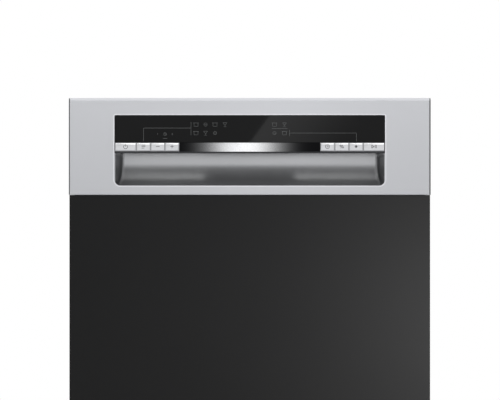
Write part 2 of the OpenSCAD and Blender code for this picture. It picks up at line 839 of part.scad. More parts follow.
module outer_rails() {
  color("silver") both_sides() c_rail(x_rail, rail_depth, rail_h);
}

module middle_rails() {
  color("darkgray") both_sides()
    c_rail(x_rail_middle, rail_depth, rail_h - 2 * rail_t - 2 * rail_gap);
}

module inner_rails() {
  h = rail_h - 4 * rail_t - 4 * rail_gap;
  x_rack = upper_rack_w / 2 + wire_r;
  color("silver") both_sides() {
    box([x_rail_inner - 6, y_rail, rail_z - h / 2], [x_rail_inner, y_rail + rail_l, rail_z + h / 2]);
    for (y = [y_rack + 50, y_rack_back - 90]) {
      box([x_rack + seat_gap, y, rail_z - h / 2], [x_rail_inner - 5, y + 40, rail_z + h / 2]);
    }
  }
}

// A flat grid of wires along X at its lower level and along Y resting on them
module floor_grid(half, y0, y1, z) {
  for (y = spread(y0, y1, 2 * wire_pitch)) rod_x(-half, half, y, z, wire_r);
  for (x = spread(-half + wire_r, half - wire_r, wire_pitch)) {
    rod_y(y0 - wire_r, y1 + wire_r, x, z + wire_r, wire_r);
  }
}

// An upright grid across the rack, front or back
module cross_grid(half, y, z0, z1) {
  for (z = spread(z0, z1, 2 * wire_pitch)) rod_x(-half, half, y, z, wire_r);
  for (x = spread(-half + wire_r, half - wire_r, 2 * wire_pitch)) {
    rod_z(z0 - wire_r, z1 + wire_r, x, y + wire_r, wire_r);
  }
}

// An upright grid along the rack's side
module side_grid(x, y0, y1, z0, z1) {
  for (z = spread(z0, z1, 2 * wire_pitch)) rod_y(y0, y1, x, z, wire_r);
  for (y = spread(y0 + wire_r, y1 - wire_r, 2 * wire_pitch)) {
    rod_z(z0 - wire_r, z1 + wire_r, x - wire_r, y, wire_r);
  }
}

// Floor and four walls of a wire basket, each wall standing on the floor's edge
module wire_basket(half, z, height) {
  z0 = z + 3 * wire_r + seat_gap;
  inside = half - 2 * wire_r - seat_gap;
  floor_grid(half, y_rack, y_rack_back, z);
  cross_grid(inside, y_rack, z0, z + height);
  cross_grid(inside, y_rack_back - wire_r, z0, z + height);
  both_sides() side_grid(half, y_rack, y_rack_back, z0, z + height);
}

// A pivot wire with upright tines
module comb(x0, x1, height) {
  rod_x(x0, x1, 0, 0, pivot_r, 48);
  for (x = spread(x0 + 6, x1 - 6, tine_pitch)) rod_z(0, height, x, 0, wire_r);
}

// A bracket beside the side wires that holds one wheel's axle
module wheel_carrier(y) {
  x0 = lower_rack_w / 2 + wire_r;
  difference() {
    along_x(x0, x_wheel - seat_gap) translate([y, 0]) {
      translate([0, z_axle]) circle(9);
      polygon([[-9, z_axle], [9, z_axle], [18, lower_rack_z + 26], [-18, lower_rack_z + 26]]);
    }
    rod_x(x0 + 1, x_wheel, y, lower_rack_z + 18, 2.2, 48);
  }
  rod_x(x_wheel - 1, x_wheel + wheel_t + 1.5, y, z_axle, axle_r, 48);
  rod_x(x_wheel + wheel_t + seat_gap, x_wheel + wheel_t + 1.5, y, z_axle, axle_r + 1.5, 48);
}

module lower_rack() {
  color("darkgray") {
    wire_basket(lower_rack_w / 2, lower_rack_z, lower_rack_h);
    both_sides() for (y = y_wheels) wheel_carrier(y);
  }
}

module wheel_pair(y) {
  color("gainsboro") both_sides() difference() {
    rod_x(x_wheel, x_wheel + wheel_t, y, z_axle, wheel_r, 64);
    rod_x(x_wheel - 1, x_wheel + wheel_t + 1, y, z_axle, axle_r + run_clear, 48);
    translate([x_wheel + wheel_t - 3, y, z_axle]) rotate([0, 90, 0]) difference() {
      cylinder(h = 4, r = wheel_r - 3);
      translate([0, 0, -1]) cylinder(h = 6, r = axle_r + 4);
    }
  }
}

module front_wheels() {
  wheel_pair(y_wheels[0]);
}

module rear_wheels() {
  wheel_pair(y_wheels[1]);
}

module tine_row_front() {
  color("darkgray") translate([0, y_tines[0], z_tines]) comb(x_tines[0], x_tines[1], tine_h);
}

module tine_row_rear() {
  color("darkgray") translate([0, y_tines[1], z_tines]) comb(x_tines[0], x_tines[1], tine_h);
}

module cutlery_basket() {
  step = (basket_l - basket_wall) / compartments;
  color("gray") translate([x_basket, y_basket, z_basket]) {
    box([0, 0, 0], [basket_w, basket_l, basket_wall]);
    for (x = [0, basket_w - basket_wall]) box([x, 0, 0], [x + basket_wall, basket_l, basket_h]);
    for (i = [0:compartments]) {
      box([0, i * step, 0], [basket_w, i * step + basket_wall, basket_h]);
    }
    along_y(basket_l / 2 - 1.5, basket_l / 2 + 1.5) difference() {
      translate([8, basket_h - 1]) square([basket_w - 16, 24]);
      translate([16, basket_h - 2]) square([basket_w - 32, 17]);
    }
  }
}

module upper_rack() {
  color("darkgray") {
    wire_basket(upper_rack_w / 2, upper_rack_z, upper_rack_h);
    for (i = [0:2]) {
      y = y_rack + cup_tine_inset + i * cup_tine_gap;
      translate([0, y, upper_rack_z + 2 * wire_r + pivot_r + seat_gap])
        comb(-cup_tine_half, cup_tine_half, cup_tine_h);
    }
    rod_y(arm_y, y_riser - 7 - seat_gap, 0, z_dock, 7, 48);
    disc(0, arm_y, z_tube_end, upper_rack_z - wire_r - seat_gap, feed_tube_r);
  }
}

// A shelf hinged on the rack's left side and lying level over the cups
module cup_shelf() {
  x0 = -x_shelf;
  rod_y(y_shelf[0], y_shelf[1], x0, z_shelf, pivot_r, 48);
  rod_y(y_shelf[0], y_shelf[1], x0 + shelf_w, z_shelf, wire_r);
  for (y = spread(y_shelf[0] + wire_r, y_shelf[1] - wire_r, wire_pitch)) {
    rod_x(x0, x0 + shelf_w, y, z_shelf, wire_r);
  }
}

module cup_shelf_left() {
  color("darkgray") cup_shelf();
}

module cup_shelf_right() {
  color("darkgray") mirror([1, 0, 0]) cup_shelf();
}

module door_panel() {
  z0 = panel_z + 2;
  z1 = z_fascia - 1;
  color("silver") {
    box([-x_skin - sheet_t, y_skin, z0], [x_skin + sheet_t, y_skin + sheet_t, z1]);
    both_sides() box([x_skin, y_skin, z0], [x_skin + sheet_t, y_hinge, z1]);
  }
}

module front_panel() {
  half = x_front - panel_side_inset;
  y1 = y_panel + panel_t;
  color("black") translate([0, 0, panel_z]) linear_extrude(z_fascia - shadow_gap - panel_z)
    polygon([[-half + 1, y_panel], [half - 1, y_panel], [half, y_panel + 1], [half, y1], [-half, y1],
             [-half, y_panel + 1]]);
}

module door_liner() {
  z0 = hinge_z + 6;
  z1 = z_strike + strike_t;
  y_pan = y_skin + sheet_t + seat_gap;
  color("lightsteelblue") difference() {
    union() {
      along_y(y_liner - sheet_t, y_liner) outline(x_liner, z0, z1, 6, 16);
      difference() {
        box([-x_pan, y_pan, z0], [x_pan, y_liner - sheet_t / 2, z_fascia - 1]);
        box([-x_pan + sheet_t, y_pan - 1, z0 + sheet_t], [x_pan - sheet_t, y_liner - sheet_t, z_fascia]);
      }
    }
    box([-dispenser_w / 2 + 6, y_liner - 5, dispenser_z + 6],
        [dispenser_w / 2 - 6, y_liner + 1, dispenser_z + dispenser_h - 6]);
    box([-strike_x - 4, y_liner - 5, z_strike - 3], [strike_x + 4, y_liner + 1, z1 + 1]);
  }
}

module hinge_arms() {
  top = 170;
  color("silver") both_sides() along_x(x_arm, x_arm + hinge_plate_t) translate([y_hinge, hinge_z]) {
    difference() {
      union() {
        circle(hinge_inset);
        polygon([[-37, 8], [-37, top], [-14, top], [-6, 22], [-1, 6], [-6, -2]]);
      }
      circle(hinge_pin_r + run_clear);
    }
  }
}

module fascia() {
  y1 = y_liner - sheet_t - 1;
  color("silver") difference() {
    along_x(-x_front, x_front) polygon([
      [y_front + bevel_h / 2, overall_h], [y_front, overall_h - bevel_h], [y_front, z_fascia + 1],
      [y_front + 1, z_fascia], [y1, z_fascia], [y1, overall_h]
    ]);
    box([-x_front + fascia_wall, y_front + fascia_wall, z_fascia + fascia_wall],
        [x_front - fascia_wall, y1 + 1, overall_h - fascia_wall]);
    along_y(y_front - 1, y_front + fascia_wall + 1)
      outline(x_window, z_window, z_window_top, window_r, 2);
  }
}

module display_window() {
  y0 = y_front + 0.6;
  color("black") along_y(y0, y0 + display_t)
    outline(x_window - seat_gap, z_key_top + seat_gap, z_window_top - seat_gap, 0.5, 1.7);
}

// The scoop's section from its mouth backwards, grown outwards by its wall
module scoop(grow) {
  depth = grip_depth + grow;
  r = grip_depth - grip_floor + grow;
  r_top = 5 + grow;
  z0 = z_window - grow;
  z1 = z_lip + grip_undercut + grow;
  y0 = y_pocket;
  y_under = y_carrier + carrier_t + 4 - grow;
  translate([y0, z0]) square([depth - r + 1, z_lip - z0 - seat_gap]);
  translate([y0 + depth - r, z0 + r]) difference() {
    circle(r);
    translate([-r - 1, 0]) square([2 * r + 2, r + 1]);
  }
  translate([y0 + depth - r - 1, z0 + r]) square([r + 1, z_lip - seat_gap - z0 - r]);
  translate([y_under, z_lip - 3 * grip_wall])
    square([y0 + depth - y_under, z1 - r_top - z_lip + 3 * grip_wall]);
  translate([y_under, z_lip - 3 * grip_wall])
    square([y0 + depth - r_top - y_under, z1 - z_lip + 3 * grip_wall]);
  translate([y0 + depth - r_top, z1 - r_top]) circle(r_top);
}

// The plan of the pocket, whose ends draw in towards its back and its round corners
module pocket_plan(grow) {
  overcut = grow > 0 ? 0 : 9;
  half = x_window - grip_side_gap + grow;
  r = grip_corner_r + grow;
  translate([-half, y_pocket - overcut]) square([2 * half, overcut + 0.5]);
  hull() {
    translate([-half, y_pocket]) square([2 * half, 0.5]);
    for (side = [-1, 1]) {
      translate([side * (half - grip_draft - r), y_pocket + grip_depth + grow - r]) circle(r);
    }
  }
}

module pocket_form(grow) {
  intersection() {
    along_x(-x_window - 9, x_window + 9) scoop(grow);
    translate([0, 0, z_window - 20]) linear_extrude(window_h) pocket_plan(grow);
  }
}

module grip_pocket() {
  color("silver") difference() {
    union() {
      along_y(y_pocket, y_pocket + grip_wall) outline(x_window + 5, z_window - 5, z_lip - seat_gap, 12, 1);
      pocket_form(grip_wall);
    }
    translate([0, -0.01, 0]) pocket_form(0);
  }
}

// Left edge of each key, from left to right, and its width
function key_left(i) = i < 4 ? -key_left(7 - i) - key_width(i)
  : bar_w / 2 + key_gap / 2 + (i - 4) * (key_w + key_gap);
function key_width(i) = (i == 0 || i == 7)
  ? x_window - key_gap / 2 - bar_w / 2 - key_gap / 2 - 3 * (key_w + key_gap) : key_w;
function key_middle(i) = key_left(i) + key_width(i) / 2;

module button_bar() {
  half = x_window - seat_gap;
  color("silver") difference() {
    union() {
      box([-half, y_carrier, z_lip], [half, y_carrier + carrier_t, z_key_top - seat_gap]);
      box([-half, y_key, z_lip], [half, y_carrier + 1, z_key - seat_gap]);
      box([-bar_w / 2, y_key, z_lip + 1], [bar_w / 2, y_carrier + 1, z_key_top - seat_gap]);
    }
    for (i = [0:7]) {
      rod_y(y_carrier - 1, y_carrier + carrier_t + 1, key_middle(i), z_stem, stem_r + run_clear, 48);
    }
  }
}

// A key's cap with softened front edges, on the stem that works its switch
module key(i) {
  x0 = key_left(i);
  x1 = x0 + key_width(i);
  z0 = z_key + seat_gap;
  color("whitesmoke") {
    translate([0, 0, z0]) linear_extrude(key_h - 2 * seat_gap) polygon([
      [x0 + key_bevel, y_key], [x1 - key_bevel, y_key], [x1, y_key + key_bevel], [x1, y_key + key_t],
      [x0, y_key + key_t], [x0, y_key + key_bevel]
    ]);
    rod_y(y_key + key_t - 0.5, y_board - key_travel - seat_gap, key_middle(i), z_stem, stem_r, 48);
  }
}

module control_board() {
  color("darkgreen") {
    box([-150, y_board, z_board], [150, y_board + 1.6, z_window_top + 5]);
    box([-60, y_board - 2.5, z_key_top + 8], [60, y_board + 1, z_key_top + 30]);
  }
}

module dispenser_body() {
  half = dispenser_w / 2;
  z1 = dispenser_z + dispenser_h;
  color("gainsboro") difference() {
    union() {
      along_y(y_liner, y_dispenser) outline(half, dispenser_z, z1, 12, 12);
      box([-half + 8, y_liner - 26, dispenser_z + 8], [half - 8, y_liner + 1, z1 - 8]);
    }
    along_y(y_dispenser - chamber_d, y_dispenser + 1) translate([x_chamber, 0])
      outline(chamber_w / 2, dispenser_z + 16, z1 - 16, 6, 6);
    rod_y(y_dispenser - 14, y_dispenser + 1, x_rinse, z_rinse, rinse_r - 3 + run_clear, 48);
  }
}

module detergent_lid() {
  y0 = y_dispenser + seat_gap;
  color("silver") difference() {
    along_y(y0, y0 + lid_t) translate([x_chamber, 0]) outline(lid_w / 2, z_lid, z_lid + lid_h, 6, 6);
    for (x = [-20, -10, 0]) {
      box([x_chamber + x, y0 + lid_t - 1, z_lid + 16],
          [x_chamber + x + 4, y0 + lid_t + 1, z_lid + lid_h - 16]);
    }
  }
}

module rinse_cap() {
  y0 = y_dispenser + seat_gap;
  color("steelblue") {
    rod_y(y0, y0 + 3, x_rinse, z_rinse, rinse_r, 48);
    rod_y(y0 - 10, y0 + 1, x_rinse, z_rinse, rinse_r - 3, 48);
    box([x_rinse - rinse_r + 4, y0 + 2, z_rinse - 2], [x_rinse + rinse_r - 4, y0 + 5, z_rinse + 2]);
  }
}

module door_latch() {
  z0 = z_strike - 14;
  z1 = overall_h - fascia_wall - seat_gap;
  y1 = y_liner - sheet_t - seat_gap;
  color("gray") difference() {
    box([-35, y1 - 34, z0], [35, y1, z1]);
    box([-strike_x - 3, y1 - 26, z_strike - 3], [strike_x + 3, y1 + 1, z1 - 0.8]);
  }
}

module screw_head() {
  difference() {
    cylinder(h = screw_head_t, r = screw_head_r);
    translate([0, 0, screw_head_t - 0.8]) cylinder(h = 1, r = screw_head_r / 2, $fn = 6);
  }
}

module fasteners() {
  color("gray") {
    for (side = [-1, 1], z = spread(hinge_z + base_z + 20, z_cover - 20, 220)) {
      translate([side * (x_side - 8), y_back, z]) rotate([-90, 0, 0]) screw_head();
    }
    for (x = [-150, 150]) {
      translate([x, y_tub + 1, base_z + 18]) rotate([90, 0, 0]) scale([1, 1, 0.6]) screw_head();
    }
    both_sides() translate([x_bracket - 12, y_base - seat_gap - 1.7, hinge_z - 6])
      rotate([90, 0, 0]) screw_head();
  }
}

base_tray();
kick_plate();
foot_front_left();
foot_front_right();
foot_rear();
side_panel_left();
side_panel_right();
back_panel();
top_cover();
tub();
door_gasket();
hinge_brackets();
balance_springs();
sump();
filter_plate();
filter_cylinder();
circulation_pump();
drain_pump();
salt_container();
salt_cap();
inlet_valve();
cable_gland();
water_box();
feed_pipe();
lower_spray_arm();
upper_spray_arm();
outer_rails();
middle_rails();
inner_rails();
lower_rack();
front_wheels();
rear_wheels();
tine_row_front();
tine_row_rear();
cutlery_basket();
upper_rack();
cup_shelf_left();
cup_shelf_right();
door_panel();
front_panel();
door_liner();
hinge_arms();
fascia();
display_window();
grip_pocket();
button_bar();
key(0);  // key_power
key(1);  // key_program
key(2);  // key_minus
key(3);  // key_plus
key(4);  // key_delay
key(5);  // key_half_load
key(6);  // key_function
key(7);  // key_start
control_board();
dispenser_body();
detergent_lid();
rinse_cap();
door_latch();
fasteners();
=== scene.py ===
import math

import bmesh
import bpy
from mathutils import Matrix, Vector


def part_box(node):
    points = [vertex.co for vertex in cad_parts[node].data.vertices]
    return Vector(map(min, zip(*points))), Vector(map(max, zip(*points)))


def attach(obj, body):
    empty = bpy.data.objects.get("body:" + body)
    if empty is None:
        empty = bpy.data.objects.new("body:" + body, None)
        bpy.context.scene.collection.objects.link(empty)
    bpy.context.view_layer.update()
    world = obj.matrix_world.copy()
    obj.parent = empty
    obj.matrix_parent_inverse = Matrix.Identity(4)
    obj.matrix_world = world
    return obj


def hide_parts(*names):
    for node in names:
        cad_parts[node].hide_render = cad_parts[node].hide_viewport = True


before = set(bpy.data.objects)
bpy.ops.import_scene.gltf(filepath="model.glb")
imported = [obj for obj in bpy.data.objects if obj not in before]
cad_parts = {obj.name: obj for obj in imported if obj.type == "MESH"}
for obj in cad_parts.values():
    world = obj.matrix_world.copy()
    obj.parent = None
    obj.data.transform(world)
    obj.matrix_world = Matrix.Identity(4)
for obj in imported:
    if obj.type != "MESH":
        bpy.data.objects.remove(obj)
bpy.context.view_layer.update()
mm = 0.001
tiny = 1e-6                 # a corner this close to a plane counts as on it
straight = 0.99             # a face whose normal has this share along an axis faces that way
beyond = 10 * mm            # how far a cutter reaches past what it cuts

# ---- small helpers for modelling by operators

def deselectAll():
    if bpy.context.object and bpy.context.object.mode != "OBJECT":
        bpy.ops.object.mode_set(mode="OBJECT")
    bpy.ops.object.select_all(action="DESELECT")


def makeActive(piece):
    deselectAll()
    piece.select_set(True)
    bpy.context.view_layer.objects.active = piece


def settle():
    # the object's place, turn and size go into its mesh
    bpy.ops.object.transform_apply(location=True, rotation=True, scale=True)


def addBlock(name, low, high):
    deselectAll()
    low, high = Vector(low), Vector(high)
    bpy.ops.mesh.primitive_cube_add(size=1, location=(low + high) / 2)
    piece = bpy.context.object
    piece.name = name
    piece.scale = high - low
    settle()
    return piece


def addPin(name, centre, radius, length, sides):
    # a round bar from front to back
    deselectAll()
    bpy.ops.mesh.primitive_cylinder_add(vertices=sides, radius=radius, depth=length, location=centre,
                                        rotation=(math.pi / 2, 0, 0))
    piece = bpy.context.object
    piece.name = name
    settle()
    return piece


def editParts(piece, kind, test):
    # opens the piece with those faces or edges selected that pass the test
    makeActive(piece)
    bpy.ops.object.mode_set(mode="EDIT")
    bpy.ops.mesh.select_mode(type=kind)
    bpy.ops.mesh.select_all(action="DESELECT")
    mesh = bmesh.from_edit_mesh(piece.data)
    for part in mesh.faces if kind == "FACE" else mesh.edges:
        part.select_set(test(part))
    mesh.select_flush_mode()
    bmesh.update_edit_mesh(piece.data)


def editFaces(piece, test):
    editParts(piece, "FACE", test)


def editEdges(piece, test):
    editParts(piece, "EDGE", test)


def editWhole(piece):
    makeActive(piece)
    bpy.ops.object.mode_set(mode="EDIT")
    bpy.ops.mesh.select_mode(type="EDGE")
    bpy.ops.mesh.select_all(action="SELECT")


def leaveEdit():
    bpy.ops.object.mode_set(mode="OBJECT")


def bevelEdges(piece, bevel, test):
    # a bevel is a width in millimetres and a number of segments
    width, segments = bevel
    editEdges(piece, test)
    bpy.ops.mesh.bevel(offset=width * mm, segments=segments)
    leaveEdit()


def deleteFaces(piece, test):
    editFaces(piece, test)
    bpy.ops.mesh.delete(type="FACE")
    leaveEdit()


def splitAt(piece, point, normal):
    editWhole(piece)
    bpy.ops.mesh.bisect(plane_co=point, plane_no=normal)
    leaveEdit()


def atMost(edge, axis, limit):
    return all(getattr(corner.co, axis) < limit + tiny for corner in edge.verts)


def atLeast(edge, axis, limit):
    return all(getattr(corner.co, axis) > limit - tiny for corner in edge.verts)


def span(edge, axis):
    # how far an edge reaches along one axis
    first, second = (getattr(corner.co, axis) for corner in edge.verts)
    return abs(first - second)


def slopeTop(piece, front, top, height, depth):
    # the upper part of the front leans back, with a crisp line where it starts
    line = top - height
    splitAt(piece, (0, 0, line), (0, 0, 1))
    editEdges(piece, lambda e: atMost(e, "y", front) and atLeast(e, "z", top))
    bpy.ops.transform.translate(value=(0, depth, 0))
    leaveEdit()
    editEdges(piece, lambda e: atMost(e, "y", front) and atMost(e, "z", line) and atLeast(e, "z", line))
    bpy.ops.mesh.mark_sharp()
    leaveEdit()


def modify(piece, kind, **values):
    makeActive(piece)
    step = piece.modifiers.new(kind.lower(), kind)
    for key, value in values.items():
        setattr(step, key, value)
    bpy.ops.object.modifier_apply(modifier=step.name)


def cutAway(piece, cutter):
    modify(piece, "BOOLEAN", operation="DIFFERENCE", object=cutter, solver="EXACT")
    bpy.data.objects.remove(cutter)


def smooth(piece, angle=38):
    makeActive(piece)
    bpy.ops.object.shade_smooth_by_angle(angle=math.radians(angle))
    # flat faces stay flat beside their bevels
    modify(piece, "WEIGHTED_NORMAL", keep_sharp=True, weight=100)


def joinAll(pieces, name):
    deselectAll()
    for piece in pieces:
        piece.select_set(True)
    bpy.context.view_layer.objects.active = pieces[0]
    if len(pieces) > 1:
        bpy.ops.object.join()
    joined = bpy.context.view_layer.objects.active
    joined.name = name
    return joined


def dress(piece, *finishes):
    # the first finish goes on every face, and the others wait in their slots
    piece.data.materials.clear()
    for name in finishes:
        piece.data.materials.append(materials[name])


def place(piece, body, slot, *nodes):
    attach(piece, body)
    if nodes:
        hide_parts(*nodes)
    return piece


# ---- shared shader groups

mixFirst, mixSecond, mixResult = 6, 7, 2          # the colour sockets of a Mix node


def addNode(tree, kind, numbered=None, **values):
    # capital names are sockets, small ones are settings of the node
    node = tree.nodes.new("ShaderNode" + kind)
    for label, value in values.items():
        if label[0].isupper():
            node.inputs[label.replace("_", " ")].default_value = value
        else:
            setattr(node, label, value)
    for index, value in (numbered or {}).items():
        node.inputs[index].default_value = value
    return node


def wire(tree, *links):
    for source, output, target, socket in links:
        tree.links.new(source.outputs[output], target.inputs[socket])


def newGroup(name, inputs, outputs):
    group = bpy.data.node_groups.new(name, "ShaderNodeTree")
    for label, kind, value in inputs:
        socket = group.interface.new_socket(label, in_out="INPUT", socket_type="NodeSocket" + kind)
        if value is not None:
            socket.default_value = value
    for label, kind in outputs:
        group.interface.new_socket(label, in_out="OUTPUT", socket_type="NodeSocket" + kind)
    return group, group.nodes.new("NodeGroupInput"), group.nodes.new("NodeGroupOutput")


driftLook = dict(detail=5, rough=0.6, low=0.22, high=0.78, squeeze=0.25)
grainLook = dict(detail=3, rough=0.55, low=0.3, high=0.7)
handlingLook = dict(warpScale=9, warpDetail=2, warp=0.12, scratch=0.012, patchScale=5, patchDetail=4,
                    patch=(0.52, 0.66))


def makeTintDrift():
    # two tints in patches; the sharper they are, the narrower is the step between them
    group, start, end = newGroup("tintDrift", [
        ("Vector", "Vector", None), ("Tint", "Color", (0.5, 0.5, 0.5, 1)),
        ("Second Tint", "Color", (0.5, 0.5, 0.5, 1)), ("Scale", "Float", 6.0), ("Sharpness", "Float", 0.5)],
        [("Colour", "Color")])
    noise = addNode(group, "TexNoise", Detail=driftLook["detail"], Roughness=driftLook["rough"])
    lower = addNode(group, "Math", operation="MULTIPLY_ADD",
                    numbered={1: driftLook["squeeze"], 2: driftLook["low"]})
    upper = addNode(group, "Math", operation="MULTIPLY_ADD",
                    numbered={1: -driftLook["squeeze"], 2: driftLook["high"]})
    spread = addNode(group, "MapRange", interpolation_type="SMOOTHSTEP")
    mix = addNode(group, "Mix", data_type="RGBA")
    wire(group, (start, "Vector", noise, "Vector"), (start, "Scale", noise, "Scale"),
         (start, "Sharpness", lower, 0), (start, "Sharpness", upper, 0),
         (noise, "Fac", spread, "Value"), (lower, 0, spread, "From Min"), (upper, 0, spread, "From Max"),
         (spread, "Result", mix, "Factor"), (start, "Tint", mix, mixFirst),
         (start, "Second Tint", mix, mixSecond), (mix, mixResult, end, "Colour"))
    return group


def makeGrain():
    # fine grain for the bump and the roughness
    group, start, end = newGroup("surfaceGrain", [
        ("Vector", "Vector", None), ("Stretch", "Vector", (1, 1, 1)), ("Scale", "Float", 800.0),
        ("Rough Low", "Float", 0.3), ("Rough High", "Float", 0.4)],
        [("Height", "Float"), ("Roughness", "Float")])
    stretch = addNode(group, "VectorMath", operation="MULTIPLY")
    noise = addNode(group, "TexNoise", Detail=grainLook["detail"], Roughness=grainLook["rough"])
    rough = addNode(group, "MapRange", From_Min=grainLook["low"], From_Max=grainLook["high"])
    wire(group, (start, "Vector", stretch, 0), (start, "Stretch", stretch, 1),
         (stretch, "Vector", noise, "Vector"), (start, "Scale", noise, "Scale"),
         (noise, "Fac", rough, "Value"), (start, "Rough Low", rough, "To Min"),
         (start, "Rough High", rough, "To Max"), (noise, "Fac", end, "Height"),
         (rough, "Result", end, "Roughness"))
    return group


def makeHandling():
    # fine scratches inside rubbed spots
    group, start, end = newGroup("handlingMarks", [
        ("Vector", "Vector", None), ("Scale", "Float", 40.0), ("Amount", "Float", 0.2),
        ("Colour", "Color", (1, 1, 1, 1)), ("Mark Colour", "Color", (0.6, 0.6, 0.6, 1))],
        [("Colour", "Color")])
    warp = addNode(group, "TexNoise", Scale=handlingLook["warpScale"], Detail=handlingLook["warpDetail"])
    lean = addNode(group, "VectorMath", operation="MULTIPLY_ADD", numbered={1: [handlingLook["warp"]] * 3})
    cells = addNode(group, "TexVoronoi", feature="DISTANCE_TO_EDGE")
    line = addNode(group, "MapRange", From_Min=0.0, From_Max=handlingLook["scratch"], To_Min=1.0, To_Max=0.0)
    patch = addNode(group, "TexNoise", Scale=handlingLook["patchScale"], Detail=handlingLook["patchDetail"])
    gate = addNode(group, "MapRange", From_Min=handlingLook["patch"][0], From_Max=handlingLook["patch"][1])
    both = addNode(group, "Math", operation="MULTIPLY")
    share = addNode(group, "Math", operation="MULTIPLY")
    mix = addNode(group, "Mix", data_type="RGBA")
    wire(group, (start, "Vector", warp, "Vector"), (warp, "Color", lean, 0), (start, "Vector", lean, 2),
         (lean, "Vector", cells, "Vector"), (start, "Scale", cells, "Scale"),
         (cells, "Distance", line, "Value"), (start, "Vector", patch, "Vector"),
         (patch, "Fac", gate, "Value"), (line, "Result", both, 0), (gate, "Result", both, 1),
         (both, 0, share, 0), (start, "Amount", share, 1), (share, 0, mix, "Factor"),
         (start, "Colour", mix, mixFirst), (start, "Mark Colour", mix, mixSecond),
         (mix, mixResult, end, "Colour"))
    return group


tintDrift = makeTintDrift()
surfaceGrain = makeGrain()
handlingMarks = makeHandling()

# ---- finishes

basicLook = dict(metal=0.0, specular=0.5, coat=0.0, coatRough=0.05, clear=0.0, driftScale=5.0, sharpness=0.4,
                 stretch=(1, 1, 1), grainScale=900.0, bump=0.15, bumpDepth=0.0001, markScale=40.0, marks=0.08)
markGain = 1.3              # marks are this much brighter than the tint, unless a look says otherwise


def newMaterial(name):
    material = bpy.data.materials.new(name)
    material.use_nodes = True
    tree = material.node_tree
    return material, tree, tree.nodes["Principled BSDF"], addNode(tree, "TexCoord")


def addGroup(tree, group, **values):
    return addNode(tree, "Group", node_tree=group, **values)


def finish(name, look):
    # one material from the shared groups; what the look leaves out comes from the basic look
    look = {**basicLook, **look}
    material, tree, shader, where = newMaterial(name)
    markTint = look.get("markTint", [min(1, channel * markGain) for channel in look["tint"]])
    drift = addGroup(tree, tintDrift, Tint=(*look["tint"], 1), Second_Tint=(*look["secondTint"], 1),
                     Scale=look["driftScale"], Sharpness=look["sharpness"])
    grain = addGroup(tree, surfaceGrain, Stretch=look["stretch"], Scale=look["grainScale"],
                     Rough_Low=look["rough"][0], Rough_High=look["rough"][1])
    marks = addGroup(tree, handlingMarks, Scale=look["markScale"], Amount=look["marks"],
                     Mark_Colour=(*markTint, 1))
    bump = addNode(tree, "Bump", Strength=look["bump"], Distance=look["bumpDepth"])
    wire(tree, (where, "Object", drift, "Vector"), (where, "Object", grain, "Vector"),
         (where, "Object", marks, "Vector"), (drift, "Colour", marks, "Colour"),
         (marks, "Colour", shader, "Base Color"), (grain, "Roughness", shader, "Roughness"),
         (grain, "Height", bump, "Height"), (bump, "Normal", shader, "Normal"))
    for label, key in (("Metallic", "metal"), ("Specular IOR Level", "specular"), ("Coat Weight", "coat"),
                       ("Coat Roughness", "coatRough"), ("Transmission Weight", "clear")):
        shader.inputs[label].default_value = look[key]
    return material


